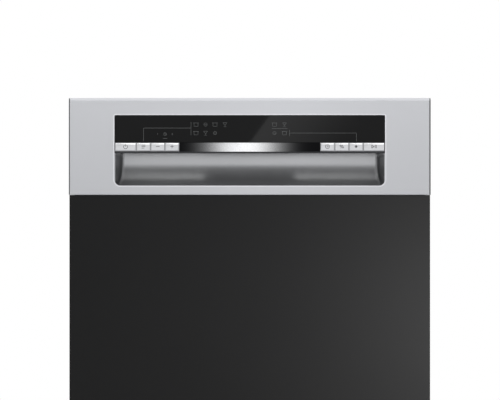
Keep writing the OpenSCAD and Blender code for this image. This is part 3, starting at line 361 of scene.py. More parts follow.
looks = {
    "satinSilver": dict(tint=(0.560, 0.566, 0.588), secondTint=(0.551, 0.557, 0.577), metal=0.85,
                        rough=(0.30, 0.34), grainScale=2600.0, bump=0.05, driftScale=3.0, marks=0.02),
    # lighter and darker copies of the satin silver: a painted highlight round the window and painted shade on
    # the side edges
    "rimHighlightSilver": dict(tint=(0.74, 0.745, 0.77), secondTint=(0.72, 0.725, 0.75), metal=0.85,
                      rough=(0.30, 0.34), grainScale=2600.0, bump=0.03, marks=0.02),
    "edgeShadeSilver": dict(tint=(0.26, 0.264, 0.27), secondTint=(0.245, 0.249, 0.255), metal=0.85,
                       rough=(0.30, 0.34), grainScale=2600.0, bump=0.03, marks=0.02),
    # painted shade on the middle of the pocket's roof
    "roofPaintedShade": dict(tint=(0.045, 0.045, 0.047), secondTint=(0.055, 0.055, 0.057), rough=(0.4, 0.5),
                     grainScale=900.0, bump=0.05, marks=0.03),
    "pocketSilver": dict(tint=(0.47, 0.475, 0.487), secondTint=(0.45, 0.455, 0.467), metal=0.9,
                         rough=(0.29, 0.35), grainScale=2600.0, bump=0.04, driftScale=4.0, marks=0.02),
    # painted shade on the pocket's end walls
    "pocketEndShade": dict(tint=(0.19, 0.192, 0.197), secondTint=(0.18, 0.182, 0.187), metal=0.9,
                      rough=(0.29, 0.35), grainScale=2600.0, bump=0.04, marks=0.02),
    # a painted highlight on the keys' sloped tops
    "keyTopHighlight": dict(tint=(0.97, 0.97, 0.98), secondTint=(0.95, 0.95, 0.96), metal=0.8, rough=(0.28, 0.34),
                    grainScale=3000.0, bump=0.03, marks=0.01),
    "lipSteel": dict(tint=(0.06, 0.061, 0.065), secondTint=(0.052, 0.053, 0.057), metal=0.9,
                     rough=(0.22, 0.28), grainScale=2600.0, bump=0.03, marks=0.02),
    "satinBlack": dict(tint=(0.0026, 0.0026, 0.0028), secondTint=(0.0034, 0.0034, 0.0036), rough=(0.36, 0.40),
                       specular=0.2, grainScale=2200.0, bump=0.06, driftScale=4.0, marks=0.03,
                       markTint=(0.05, 0.05, 0.05)),
    "glossBlack": dict(tint=(0.002, 0.002, 0.0022), secondTint=(0.003, 0.003, 0.0032), rough=(0.02, 0.04),
                       specular=0.16, grainScale=300.0, bump=0.0, driftScale=6.0, marks=0.02,
                       markTint=(0.03, 0.03, 0.03)),
    "keySilver": dict(tint=(0.76, 0.765, 0.78), secondTint=(0.73, 0.735, 0.75), metal=0.6, rough=(0.28, 0.34),
                      grainScale=3000.0, bump=0.04, driftScale=9.0, marks=0.03),
    "signGrey": dict(tint=(0.06, 0.062, 0.066), secondTint=(0.08, 0.082, 0.086), rough=(0.5, 0.6),
                     grainScale=3000.0, specular=0.2, bump=0.0, marks=0.0),
    "displayGrey": dict(tint=(0.15, 0.155, 0.155), secondTint=(0.12, 0.125, 0.125), rough=(0.4, 0.5),
                        grainScale=3000.0, specular=0.2, bump=0.0, marks=0.0),
    "galvanised": dict(tint=(0.50, 0.512, 0.525), secondTint=(0.455, 0.468, 0.482), metal=0.85,
                       rough=(0.32, 0.44), grainScale=260.0, bump=0.05, driftScale=95.0, sharpness=0.55,
                       marks=0.06, markScale=26.0),
    "stainless": dict(tint=(0.62, 0.625, 0.63), secondTint=(0.55, 0.555, 0.56), metal=1.0, rough=(0.20, 0.34),
                      grainScale=160.0, stretch=(1, 1, 18), bump=0.10, driftScale=3.0, marks=0.05),
    "basePlastic": dict(tint=(0.035, 0.036, 0.04), secondTint=(0.05, 0.051, 0.055), rough=(0.45, 0.6),
                        grainScale=700.0, bump=0.25, driftScale=7.0, marks=0.12, markTint=(0.12, 0.12, 0.12)),
    "blackPaint": dict(tint=(0.02, 0.02, 0.022), secondTint=(0.03, 0.03, 0.032), rough=(0.35, 0.45),
                       grainScale=1400.0, bump=0.12, driftScale=7.0, marks=0.10, markTint=(0.09, 0.09, 0.09)),
    "blackRubber": dict(tint=(0.015, 0.015, 0.016), secondTint=(0.024, 0.024, 0.025), rough=(0.6, 0.75),
                        grainScale=900.0, bump=0.3, driftScale=12.0, marks=0.05, markTint=(0.06, 0.06, 0.06)),
    "clearPlastic": dict(tint=(0.80, 0.83, 0.85), secondTint=(0.72, 0.76, 0.79), rough=(0.12, 0.22),
                         grainScale=300.0, bump=0.04, marks=0.05, clear=0.7),
    "greyPlastic": dict(tint=(0.36, 0.37, 0.39), secondTint=(0.32, 0.33, 0.35), rough=(0.38, 0.5),
                        grainScale=1200.0, bump=0.15, driftScale=8.0, marks=0.08),
    "whitePlastic": dict(tint=(0.80, 0.80, 0.78), secondTint=(0.74, 0.74, 0.72), rough=(0.35, 0.48),
                         grainScale=1200.0, bump=0.12, driftScale=8.0, marks=0.08,
                         markTint=(0.55, 0.55, 0.53)),
    "rackCoating": dict(tint=(0.30, 0.31, 0.33), secondTint=(0.25, 0.26, 0.28), rough=(0.3, 0.42),
                        grainScale=1500.0, bump=0.12, driftScale=20.0, marks=0.06, coat=0.2),
    "boardGreen": dict(tint=(0.02, 0.14, 0.06), secondTint=(0.015, 0.09, 0.045), rough=(0.3, 0.45),
                       grainScale=500.0, driftScale=120.0, sharpness=0.95, bump=0.1, coat=0.3),
    "lidPlastic": dict(tint=(0.22, 0.23, 0.25), secondTint=(0.19, 0.20, 0.22), rough=(0.3, 0.4),
                       grainScale=1200.0, bump=0.12, marks=0.08),
    "bluePlastic": dict(tint=(0.05, 0.15, 0.42), secondTint=(0.04, 0.12, 0.35), rough=(0.3, 0.42),
                        grainScale=1200.0, bump=0.12, marks=0.08),
}
materials = {name: finish(name, look) for name, look in looks.items()}

# the painted reflection on the bar: its bright part's centre and spread are in metres along the bar
barPaintedReflection = dict(centre=-0.011, spread=0.0495, fall=2.4, dark=(0.006, 0.006, 0.0065),
                 bright=(0.91, 0.915, 0.92), secondBright=(0.86, 0.865, 0.88), driftScale=30.0,
                 grainScale=2400.0, rough=(0.22, 0.28), bump=0.03, bumpDepth=0.0001, metal=1.0)


def makeBarPaintedReflection():
    # bright trim with a painted reflection: bright in the middle and running dark at the ends, as a satin bar
    # reflects a lit room between two dark sides
    look = barPaintedReflection
    material, tree, shader, where = newMaterial("reflectionPaintedTrim")
    split = addNode(tree, "SeparateXYZ")
    wire(tree, (where, "Object", split, 0))
    glow, output = split, "X"
    for operation, value in (("SUBTRACT", look["centre"]), ("DIVIDE", look["spread"]), ("ABSOLUTE", None),
                             ("POWER", look["fall"]), ("MULTIPLY", -1.0), ("EXPONENT", None)):
        step = addNode(tree, "Math", operation=operation, numbered=None if value is None else {1: value})
        wire(tree, (glow, output, step, 0))
        glow, output = step, 0
    drift = addGroup(tree, tintDrift, Tint=(*look["bright"], 1), Second_Tint=(*look["secondBright"], 1),
                     Scale=look["driftScale"])
    mix = addNode(tree, "Mix", data_type="RGBA", numbered={mixFirst: (*look["dark"], 1)})
    grain = addGroup(tree, surfaceGrain, Scale=look["grainScale"], Rough_Low=look["rough"][0],
                     Rough_High=look["rough"][1])
    bump = addNode(tree, "Bump", Strength=look["bump"], Distance=look["bumpDepth"])
    wire(tree, (where, "Object", drift, "Vector"), (where, "Object", grain, "Vector"),
         (glow, output, mix, "Factor"), (drift, "Colour", mix, mixSecond),
         (mix, mixResult, shader, "Base Color"), (grain, "Roughness", shader, "Roughness"),
         (grain, "Height", bump, "Height"), (bump, "Normal", shader, "Normal"))
    shader.inputs["Metallic"].default_value = look["metal"]
    return material


materials["reflectionPaintedTrim"] = makeBarPaintedReflection()
print("materials ready:", len(materials))

# ---- control fascia: a folded shell with a window

# lengths in these settings are in millimetres
fasciaLook = dict(wall=2.5, edge=(0.5, 3), leftEdge=(2.1, 1), rightEdge=(2.6, 1), slopeHeight=4.4,
                  slopeDepth=1.8, lower=0.9, windowDrop=28.27, windowHeight=116.5, windowHalf=223.4,
                  cornerLow=(10.0, 10), cornerTop=(2.0, 4), rim=2.0, rimReach=1.05, rimBevel=(0.7, 2),
                  rimAngle=50, sideReach=3.5, sideFacing=0.5)


def makeFascia():
    low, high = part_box("fascia")
    low = Vector((low.x, low.y, low.z - fasciaLook["lower"] * mm))
    piece = addBlock("fasciaShell", low, high)
    wall = fasciaLook["wall"] * mm
    slopeDepth = fasciaLook["slopeDepth"] * mm
    slopeTop(piece, low.y, high.z, fasciaLook["slopeHeight"] * mm, slopeDepth)
    for side, bevel in ((-1, fasciaLook["leftEdge"]), (1, fasciaLook["rightEdge"])):
        bevelEdges(piece, bevel, lambda e: span(e, "x") < tiny and e.verts[0].co.x * side > 0
                   and atMost(e, "y", low.y + slopeDepth))
    bevelEdges(piece, fasciaLook["edge"], lambda e: atMost(e, "y", low.y) and atMost(e, "z", low.z))
    deleteFaces(piece, lambda f: f.normal.y > straight)          # the shell is open at its back
    modify(piece, "SOLIDIFY", thickness=wall, offset=-1, use_even_offset=True)
    top = high.z - fasciaLook["windowDrop"] * mm
    bottom = top - fasciaLook["windowHeight"] * mm
    half = fasciaLook["windowHalf"] * mm
    cutter = addBlock("windowCutter", (-half, low.y - beyond, bottom), (half, low.y + 2 * wall, top))
    bevelEdges(cutter, fasciaLook["cornerLow"], lambda e: span(e, "y") > mm and atMost(e, "z", bottom))
    bevelEdges(cutter, fasciaLook["cornerTop"], lambda e: span(e, "y") > mm and atLeast(e, "z", top))
    cutAway(piece, cutter)
    # a painted highlight: the rim round the window is a lighter copy of the silver; painted shade: the outer
    # side edges are a darker copy
    rim = fasciaLook["rim"] * mm
    editFaces(piece, lambda f: f.normal.y < -straight and f.calc_center_median().y < low.y + tiny)
    bpy.ops.mesh.inset(thickness=rim)
    leaveEdit()
    dress(piece, "satinSilver", "rimHighlightSilver", "edgeShadeSilver")
    reach = fasciaLook["rimReach"] * rim
    for face in piece.data.polygons:
        corners = [piece.data.vertices[index].co for index in face.vertices]
        if face.normal.y < -straight and all(
                abs(c.x) < half + reach and bottom - reach < c.z < top + reach for c in corners):
            face.material_index = 1
        elif (abs(face.center.x) > high.x - fasciaLook["sideReach"] * mm
              and abs(face.normal.x) > fasciaLook["sideFacing"]):
            face.material_index = 2
    width, segments = fasciaLook["rimBevel"]
    modify(piece, "BEVEL", width=width * mm, segments=segments, limit_method="ANGLE",
           angle_limit=math.radians(fasciaLook["rimAngle"]))
    smooth(piece)
    return place(piece, "door", "silver_fascia", "fascia")


makeFascia()

# ---- front panel of the door

panelLook = dict(edge=(0.3, 2), rebateSide=20, rebateWall=2, rebateDepth=1)


def makeFrontPanel():
    low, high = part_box("front_panel")
    piece = addBlock("frontPanel", low, high)
    bevelEdges(piece, panelLook["edge"], lambda e: atMost(e, "y", low.y))
    # a shallow rebate on the side that meets the door
    editFaces(piece, lambda f: f.normal.y > straight)
    bpy.ops.mesh.inset(thickness=panelLook["rebateSide"] * mm, depth=0)
    bpy.ops.mesh.inset(thickness=panelLook["rebateWall"] * mm, depth=-panelLook["rebateDepth"] * mm)
    leaveEdit()
    smooth(piece)
    dress(piece, "satinBlack")
    return place(piece, "door", "black_front", "front_panel")


makeFrontPanel()

# ---- grip pocket: drafted ends, a scooped floor and soft corners

pocketLook = dict(sideGap=1.0, draft=7.0, floor=1.0, floorSegments=28, corner=(7.0, 8), roof=(2.0, 6),
                  shadedMiddle=77.0, scoop=1.1, room=0.2, wall=2.2, flange=5.0, undercut=3.0, paleDepth=22.0,
                  weld=0.02, cornerFacing=0.8, roofFacing=0.7, endFacing=0.6, smoothAngle=50)


def makePocket():
    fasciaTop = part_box("fascia")[1].z
    low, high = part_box("grip_pocket")
    barLow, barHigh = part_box("button_bar")
    half = (fasciaLook["windowHalf"] - pocketLook["sideGap"]) * mm
    front = low.y
    back = high.y - pocketLook["wall"] * mm
    bottom = fasciaTop - (fasciaLook["windowDrop"] + fasciaLook["windowHeight"]) * mm
    top = barLow.z + pocketLook["undercut"] * mm
    stretch = pocketLook["scoop"]
    piece = addBlock("gripPocket", (-half, front, bottom), (half, back, bottom + (top - bottom) / stretch))
    editFaces(piece, lambda f: f.normal.y > straight)
    bpy.ops.transform.resize(value=((half - pocketLook["draft"] * mm) / half, 1, 1))
    leaveEdit()
    deleteFaces(piece, lambda f: f.normal.y < -straight)
    # scooped floor
    bevelEdges(piece, ((back - front) / mm - pocketLook["floor"], pocketLook["floorSegments"]),
               lambda e: atLeast(e, "y", back) and atMost(e, "z", bottom))
    editWhole(piece)
    bpy.ops.transform.resize(value=(1, 1, stretch), center_override=(0, 0, bottom))
    leaveEdit()
    bevelEdges(piece, pocketLook["roof"], lambda e: atLeast(e, "y", back) and atLeast(e, "z", top))

    def betweenEndAndRest(edge):
        faces = edge.link_faces
        if len(faces) != 2:
            return False
        first, second = (abs(face.normal.x) > pocketLook["cornerFacing"] for face in faces)
        return first != second

    bevelEdges(piece, pocketLook["corner"], betweenEndAndRest)
    editWhole(piece)
    bpy.ops.mesh.remove_doubles(threshold=pocketLook["weld"] * mm)
    bpy.ops.mesh.normals_make_consistent(inside=True)
    # a flange behind the fascia
    bpy.ops.mesh.select_all(action="DESELECT")
    bpy.ops.mesh.select_non_manifold(extend=False, use_wire=False, use_boundary=True, use_multi_face=False,
                                     use_non_contiguous=False, use_verts=False)
    bpy.ops.mesh.extrude_edges_move()
    flange = pocketLook["flange"] * mm
    bpy.ops.transform.resize(value=((half + flange) / half, 1, 1))
    editEdges(piece, lambda e: len(e.link_faces) == 1 and atMost(e, "z", (bottom + top) / 2)
              and atMost(e, "y", front))
    bpy.ops.transform.translate(value=(0, 0, -flange))
    leaveEdit()
    modify(piece, "SOLIDIFY", thickness=pocketLook["wall"] * mm, offset=-1)
    # room for the key bar and the travel of its keys
    room = pocketLook["room"] * mm
    cutAway(piece, addBlock("keyRoom", (-2 * half, front - beyond, barLow.z - room),
                            (2 * half, barHigh.y + room, top + 2 * beyond)))
    # painted shade and painted reflections: the roof is pale in front at both sides and dark in the middle
    # and behind, so the scoop below reflects a shaded middle
    shadedMiddle = pocketLook["shadedMiddle"] * mm
    paleEnd = front + pocketLook["paleDepth"] * mm
    splitAt(piece, (-shadedMiddle, 0, 0), (1, 0, 0))
    splitAt(piece, (shadedMiddle, 0, 0), (1, 0, 0))
    splitAt(piece, (0, paleEnd, 0), (0, 1, 0))
    # the end walls are a darker copy of the pocket silver: painted shade
    dress(piece, "pocketSilver", "roofPaintedShade", "whitePlastic", "pocketEndShade")
    for face in piece.data.polygons:
        if face.normal.z < -pocketLook["roofFacing"] and face.center.z > top - mm:
            face.material_index = 2 if abs(face.center.x) > shadedMiddle and face.center.y < paleEnd else 1
        elif abs(face.normal.x) > pocketLook["endFacing"]:
            face.material_index = 3
    smooth(piece, pocketLook["smoothAngle"])
    return place(piece, "door", "silver_fascia", "grip_pocket")


makePocket()

# ---- drawing on the front, on a grid whose step is in metres

grid = dict(step=1.6506 * mm, middle=249.75, top=97.9, height=0.820)
inkDepth = 0.06 * mm
ringSides = 28


def gridPlace(x, y):
    return (x - grid["middle"]) * grid["step"], grid["height"] - (y - grid["top"]) * grid["step"]


def stroke(front, x0, y0, x1, y1, width):
    ax, az = gridPlace(x0, y0)
    bx, bz = gridPlace(x1, y1)
    length = math.hypot(bx - ax, bz - az)
    deselectAll()
    bpy.ops.mesh.primitive_cube_add(size=1, location=((ax + bx) / 2, front, (az + bz) / 2),
                                    rotation=(0, -math.atan2(bz - az, bx - ax), 0))
    piece = bpy.context.object
    piece.scale = (length + width, inkDepth, width)
    settle()
    return piece


def ring(front, x, y, radius, width, gap):
    # the ring stays open over the gap, an angle to both sides of its top
    cx, cz = gridPlace(x, y)
    deselectAll()
    bpy.ops.mesh.primitive_circle_add(vertices=ringSides, radius=radius, fill_type="NOTHING")
    piece = bpy.context.object
    editWhole(piece)
    bpy.ops.mesh.extrude_region_move()
    inner = (radius - width) / radius
    bpy.ops.transform.resize(value=(inner, inner, 1))
    leaveEdit()
    if gap:
        deleteFaces(piece, lambda f: abs(math.atan2(*f.calc_center_median().xy)) < gap)
    modify(piece, "SOLIDIFY", thickness=inkDepth, offset=0)
    piece.rotation_euler = (math.pi / 2, 0, 0)
    piece.location = (cx, front, cz)
    makeActive(piece)
    settle()
    return piece


def draw(front, x, y, parts, width, unit):
    # lines and rings round one place; a ring's radius counts in the unit
    drawn = []
    for kind, a, b, c, d in parts:
        if kind == "ring":
            drawn.append(ring(front, x + a, y + b, c * unit, width, gap=d))
        else:
            drawn.append(stroke(front, x + a, y + b, x + c, y + d, width))
    return drawn


# ---- display window with its printed marks

displayLook = dict(edge=(0.3, 3), lower=0.5, markWidth=0.5, raised=0.04)
displayLines = [(143.5, 141, 143.5, 128), (143.5, 128, 191, 128), (191, 122, 191, 135),
                (272, 128.5, 287.5, 128.5), (289.5, 130, 289.5, 136), (289.5, 133, 356.5, 133),
                (356.5, 133, 356.5, 141)]
pot = [("line", -2, 1.8, 2, 1.8), ("line", -2, 1.8, -2, -1.4), ("line", 2, 1.8, 2, -1.4),
       ("line", -2.6, -1.6, 2.6, -1.6)]
plate = [("ring", 0, 0, 2.9, 0), ("line", -1, 0, 1, 0)]
glass = [("line", -2, -1.8, 2, -1.8), ("line", -2, -1.8, 0, 0.8), ("line", 2, -1.8, 0, 0.8),
         ("line", 0, 0.8, 0, 2.2), ("line", -1.2, 2.2, 1.2, 2.2)]
clock = [("ring", 0, 0, 2.6, 0), ("line", 0, 0, 0, -1), ("line", 0, 0, 0.8, 0.4),
         ("line", -7, -0.8, -7.8, 0), ("line", -7, 0.8, -7.8, 0), ("line", 7, -0.8, 7.8, 0),
         ("line", 7, 0.8, 7.8, 0), ("line", -2, 4.4, 2, 4.4)]
pictograms = [
    (pot, [(196, 124.5), (215, 124.5), (196, 133), (274.5, 124.5), (284.5, 133)]),
    (plate, [(205.5, 124.5), (215, 133), (274.5, 133)]),
    (glass, [(225, 124.5), (205.5, 133), (284.5, 124.5)]),
    (clock, [(165, 134)]),
]


def makeDisplay():
    low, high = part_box("display_window")
    low = Vector((low.x, low.y, low.z - displayLook["lower"] * mm))
    piece = addBlock("displayWindow", low, high)
    bevelEdges(piece, displayLook["edge"], lambda e: atMost(e, "y", low.y))
    smooth(piece)
    dress(piece, "glossBlack")
    place(piece, "door", "black_glass", "display_window")

    front = low.y - displayLook["raised"] * mm / 2
    thin = displayLook["markWidth"] * mm
    marks = [stroke(front, *line, thin) for line in displayLines]
    for parts, places in pictograms:
        for x, y in places:
            marks += draw(front, x, y, parts, thin, mm)
    drawing = joinAll(marks, "displayMarks")
    dress(drawing, "displayGrey")
    return place(drawing, "door", "silver_fascia")


makeDisplay()
print("fascia, panel, pocket and display ready")

# ---- button bar with its finger lip

barLook = dict(half=116.5, bottom=2.0, edge=(0.45, 3), lipTop=3.0, lipDrop=0.5, lipEdge=(1.6, 4),
               carrier=2.5, carrierEdge=(0.45, 2), seam=0.1)


def makeButtonBar():
    low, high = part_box("button_bar")
    back = high.y - (barLook["carrier"] + barLook["seam"]) * mm
    lip = addBlock("fingerLip", (low.x, low.y, low.z - barLook["lipDrop"] * mm),
                   (high.x, back, low.z + barLook["lipTop"] * mm))
    bevelEdges(lip, barLook["lipEdge"], lambda e: atMost(e, "y", low.y) and span(e, "z") < tiny)
    half = barLook["half"] * mm
    bar = addBlock("centreBar", (-half, low.y, low.z + barLook["bottom"] * mm), (half, back, high.z))
    bevelEdges(bar, barLook["edge"], lambda e: atMost(e, "y", low.y))
    carrier = addBlock("keyCarrier", (low.x, high.y - barLook["carrier"] * mm, low.z), high)
    bevelEdges(carrier, barLook["carrierEdge"], lambda e: span(e, "y") > mm)
    dress(lip, "lipSteel")
    # the centre bar carries the painted reflection
    dress(bar, "reflectionPaintedTrim")
    dress(carrier, "pocketSilver")
    piece = joinAll([bar, lip, carrier], "buttonBar")
    smooth(piece)
    return place(piece, "door", "bright_trim", "button_bar")


makeButtonBar()

# ---- keys with plain signs

keyLook = dict(edge=(0.35, 3), lower=1.0, capDepth=2.1, slopeHeight=1.9, slopeDepth=0.9,
               slopeFacing=0.3, stemRadius=2.0, stemDrop=3.7, stemSides=24, tip=0.4, tipDepth=0.2, sign=0.8,
               signRaise=0.03)
keySigns = {
    "key_power": [("ring", 0, 0.2, 2.2, 0.5), ("line", 0, -2.0, 0, -0.3)],
    "key_program": [("line", -1.6, -1.5, 1.6, -1.5), ("line", -1.6, 0, 1.6, 0),
                    ("line", -1.6, 1.5, 0.6, 1.5)],
    "key_minus": [("line", -1.6, 0, 1.6, 0)],
    "key_plus": [("line", -1.4, 0, 1.4, 0), ("line", 0, -1.4, 0, 1.4)],
    "key_delay": [("ring", 0, 0, 2.2, 0), ("line", 0, 0, 0, -0.9), ("line", 0, 0, 0.8, 0.3)],
    "key_half_load": [("line", -0.9, 1.5, 0.9, -1.5), ("ring", -1.2, -0.8, 0.9, 0),
                      ("ring", 1.2, 0.8, 0.9, 0)],
    "key_function": [("line", -1.2, 0, 1.2, 0), ("line", 0, -1.2, 0, 1.2), ("line", -0.8, -0.8, 0.8, 0.8),
                     ("line", -0.8, 0.8, 0.8, -0.8)],
    "key_start": [("line", -2.2, -1.4, -2.2, 1.4), ("line", -2.2, -1.4, 0.0, 0), ("line", -2.2, 1.4, 0.0, 0),
                  ("line", 1.2, -1.4, 1.2, 1.4), ("line", 2.3, -1.4, 2.3, 1.4)],
}


def makeKey(node, signs):
    low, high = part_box(node)
    middle = (low + high) / 2
    capBack = low.y + keyLook["capDepth"] * mm
    top = high.z - keyLook["lower"] * mm
    cap = addBlock(node + "Cap", low, (high.x, capBack, top))
    slopeTop(cap, low.y, top, keyLook["slopeHeight"] * mm, keyLook["slopeDepth"] * mm)
    line = top - keyLook["slopeHeight"] * mm
    bevelEdges(cap, keyLook["edge"],
               lambda e: atMost(e, "y", low.y) and atMost(e, "z", line) and not atLeast(e, "z", line))
    stem = addPin(node + "Stem", (middle.x, (capBack + high.y) / 2, high.z - keyLook["stemDrop"] * mm),
                  keyLook["stemRadius"] * mm, high.y - capBack, keyLook["stemSides"])
    editFaces(stem, lambda f: f.normal.y > straight)
    bpy.ops.mesh.inset(thickness=keyLook["tip"] * mm, depth=keyLook["tipDepth"] * mm)
    leaveEdit()
    piece = joinAll([cap, stem], node + "Piece")
    dress(piece, "keySilver", "keyTopHighlight")
    # the sloped top of each cap is a lighter copy of the key silver: a painted highlight
    for face in piece.data.polygons:
        face.material_index = int(face.normal.z > keyLook["slopeFacing"] and face.center.z > line
                                  and face.center.y < capBack)
    smooth(piece)
    # the sign sits just over the cap's face, in the middle of the key
    front = low.y - keyLook["signRaise"] * mm / 2
    gridX = middle.x / grid["step"] + grid["middle"]
    gridY = (grid["height"] - middle.z) / grid["step"] + grid["top"]
    sign = joinAll(draw(front, gridX, gridY, signs, keyLook["sign"] * mm, grid["step"]), node + "Sign")
    dress(sign, "signGrey")
    whole = joinAll([piece, sign], node + "Piece")
    return place(whole, node, "key_white", node)


for node, signs in keySigns.items():
    makeKey(node, signs)
print("keys ready")

# ---- finishes of the solids that stay as they are

nodeFinish = {
    "basePlastic": ["base_tray", "circulation_pump", "drain_pump", "sump"],
    "galvanised": ["side_panel_left", "side_panel_right", "back_panel", "top_cover", "door_panel",
                   "hinge_brackets", "hinge_arms", "balance_springs", "outer_rails", "middle_rails",
                   "inner_rails", "fasteners", "door_latch"],
    "stainless": ["tub", "door_liner", "filter_plate"],
    "blackPaint": ["kick_plate"],
    "blackRubber": ["door_gasket", "cable_gland", "foot_front_left", "foot_front_right", "foot_rear"],
    "clearPlastic": ["water_box"],
    "greyPlastic": ["filter_cylinder", "salt_cap", "feed_pipe", "lower_spray_arm", "upper_spray_arm",
                    "cutlery_basket", "front_wheels", "rear_wheels", "dispenser_body"],
    "whitePlastic": ["salt_container", "inlet_valve"],
    "rackCoating": ["lower_rack", "upper_rack", "tine_row_front", "tine_row_rear", "cup_shelf_left",
                    "cup_shelf_right"],
    "satinBlack": ["front_panel"],
    "satinSilver": ["fascia"],
    "pocketSilver": ["grip_pocket", "button_bar"],
    "glossBlack": ["display_window"],
    "keySilver": list(keySigns),
    "boardGreen": ["control_board"],
    "lidPlastic": ["detergent_lid"],
    "bluePlastic": ["rinse_cap"],
}
for finishName, nodes in nodeFinish.items():
    for node in nodes:
        dress(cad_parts[node], finishName)

# ---- studio

studio = dict(dim=0.26, band=0.78, top=0.95, bandRise=(-0.15, 0.12), bandLow=0.62, bandFall=(0.15, 0.32),
              topHeight=(0.56, 0.80), sideReach=(0.45, 0.80), tint=(0.985, 0.99, 1, 1),
              backdrop=(1, 1, 1, 1), backdropGlow=1.0)
floorLook = dict(tint=(0.80, 0.80, 0.79), secondTint=(0.78, 0.78, 0.77), rough=(0.6, 0.7), grainScale=60.0,
                 bump=0.02, marks=0.0)
floorPlace, floorSize = (0, -1.25, 0), (8, 5.4, 1)
# each lamp's place, aim, size and power
lamps = {
    "overheadLamp": ((0, -1.5, 3.0), (0, -0.1, 0.5), (2.6, 1.2), 6.8),
    "leftFill": ((-2.0, -1.0, 2.4), (0, 0, 0.5), (1.2, 1.2), 14.0),
    "rightFill": ((2.0, -1.0, 2.4), (0, 0, 0.5), (1.2, 1.2), 14.0),
    "backFill": ((0, 2.6, 1.9), (0, 0, 0.5), (2.4, 1.4), 16.0),
}
frontLamps = {
    "sheenLamp": ((1.05, -3.0, 0.05), (0.3, -0.28, 0.45), (0.7, 0.5), 38.0),
    "crownLamp": ((0, -3.0, 1.30), (0, -0.28, 0.80), (2.6, 0.3), 2.8),
    "keyLamp": ((0, -1.75, 2.45), (0, -0.28, 0.74), (1.6, 0.25), 2.3),
    "pocketLamp": ((0, -0.75, 0.28), (0, -0.26, 0.74), (0.9, 0.12), 2.0),
}
litPieces = {"sheenLamp": ["frontPanel"], "crownLamp": ["fasciaShell"], "pocketLamp": ["gripPocket"],
             "keyLamp": [node + "Piece" for node in keySigns]}
wedgeLook = dict(across=0.42, tall=0.50, lean=35.8, edge=(0.038, -2.9, 0.926), glow=1.5, fade=(0.0, 0.78))
cameraLook = dict(place=(0.0004, -2.2337, 0.6515), lens=85, sensor=36)


def makeWorld():
    # white for the camera; the light is a bright band before and behind, dim sides and a bright ceiling
    world = bpy.data.worlds.new("studioWorld")
    bpy.context.scene.world = world
    world.use_nodes = True
    tree = world.node_tree

    def addMath(operation, *values):
        node = addNode(tree, "Math", operation=operation)
        for index, value in enumerate(values):
            if isinstance(value, float):
                node.inputs[index].default_value = value
            else:
                tree.links.new(value, node.inputs[index])
        return node.outputs[0]

    def addRamp(value, start, end, low, high):
        node = addNode(tree, "MapRange", interpolation_type="SMOOTHSTEP", From_Min=start, From_Max=end,
                       To_Min=low, To_Max=high)
        tree.links.new(value, node.inputs["Value"])
        return node.outputs["Result"]

    where = addNode(tree, "TexCoord")
    split = addNode(tree, "SeparateXYZ")
    wire(tree, (where, "Generated", split, 0))
    side, height = split.outputs["X"], split.outputs["Z"]
    rise = addRamp(height, *studio["bandRise"], studio["band"] * studio["bandLow"], studio["band"])
    band = addMath("MULTIPLY", rise, addRamp(height, *studio["bandFall"], 1.0, 0.0))
    middle = addRamp(addMath("ABSOLUTE", side), *studio["sideReach"], 1.0, 0.0)
    top = addRamp(height, *studio["topHeight"], 0.0, studio["top"])
    glow = addMath("ADD", addMath("ADD", addMath("MULTIPLY", band, middle), top), studio["dim"])
    soft = addNode(tree, "Background", Color=studio["tint"])
    tree.links.new(glow, soft.inputs["Strength"])
    back = tree.nodes["Background"]
    back.inputs["Color"].default_value = studio["backdrop"]
    back.inputs["Strength"].default_value = studio["backdropGlow"]
    rays = addNode(tree, "LightPath")
    mix = addNode(tree, "MixShader")
    wire(tree, (rays, "Is Camera Ray", mix, 0), (soft, 0, mix, 1), (back, 0, mix, 2),
         (mix, 0, tree.nodes["World Output"], "Surface"))


def addLamp(name, location, aim, size, power, roll=0.0):
    deselectAll()
    bpy.ops.object.light_add(type="AREA", location=location)
    lamp = bpy.context.object
    lamp.name = name
    lamp.data.shape = "RECTANGLE"
    lamp.data.size, lamp.data.size_y = size
    lamp.data.energy = power
    lamp.visible_camera = False
    lamp.rotation_euler = (Vector(aim) - Vector(location)).to_track_quat("-Z", "Y").to_euler()
    lamp.rotation_euler.rotate_axis("Z", math.radians(roll))
    return lamp


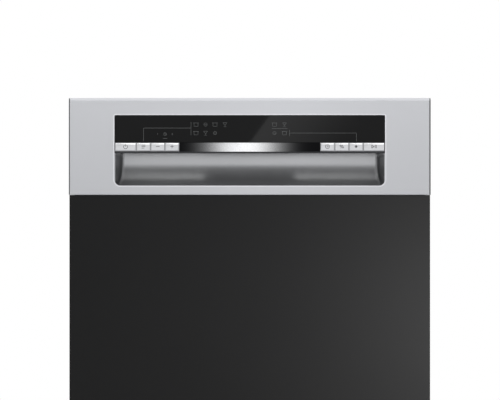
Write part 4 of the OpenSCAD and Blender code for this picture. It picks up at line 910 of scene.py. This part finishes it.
def fadeLamp(lamp, start, end):
    # the lamp's glow fades across its width
    lamp.data.use_nodes = True
    tree = lamp.data.node_tree
    where = addNode(tree, "NewGeometry")
    split = addNode(tree, "SeparateXYZ")
    ramp = addNode(tree, "MapRange", interpolation_type="SMOOTHSTEP", From_Min=start, From_Max=end,
                   To_Min=1.0, To_Max=0.0)
    wire(tree, (where, "Parametric", split, 0), (split, "X", ramp, "Value"),
         (ramp, "Result", tree.nodes["Emission"], "Strength"))


def makeWedge():
    # a slanted panel behind the camera, seen as a wedge in the display
    across, tall = wedgeLook["across"], wedgeLook["tall"]
    lean = math.radians(wedgeLook["lean"])
    centre = Vector(wedgeLook["edge"]) + Vector((math.cos(lean), 0, -math.sin(lean))) * across / 2
    wedge = addLamp("wedgeLamp", centre, centre + Vector((0, 1, 0)), (across, tall),
                    wedgeLook["glow"] * math.pi * across * tall, roll=-wedgeLook["lean"])
    fadeLamp(wedge, *wedgeLook["fade"])


def makeStudio():
    makeWorld()
    deselectAll()
    bpy.ops.mesh.primitive_plane_add(size=1, location=floorPlace)
    floor = bpy.context.object
    floor.name = "studioFloor"
    floor.scale = floorSize
    settle()
    materials["paleFloor"] = finish("paleFloor", floorLook)
    dress(floor, "paleFloor")
    for name, values in lamps.items():
        addLamp(name, *values)
    makeWedge()
    # four lamps that each light one part of the front
    for name, values in frontLamps.items():
        addLamp(name, *values)
    for name, pieces in litPieces.items():
        group = bpy.data.collections.new(name + "Group")
        for piece in pieces:
            group.objects.link(bpy.data.objects[piece])
        bpy.data.objects[name].light_linking.receiver_collection = group
    # nothing but the keys shades the keys from their lamp
    keyLinks = bpy.data.objects["keyLamp"].light_linking
    keyLinks.blocker_collection = keyLinks.receiver_collection
    bpy.context.scene.view_settings.view_transform = "Standard"
    bpy.ops.object.camera_add(location=cameraLook["place"], rotation=(math.pi / 2, 0, 0))
    camera = bpy.context.object
    camera.name = "frontCamera"
    camera.data.lens = cameraLook["lens"]
    camera.data.sensor_width = cameraLook["sensor"]
    bpy.context.scene.camera = camera


makeStudio()
print("studio ready")
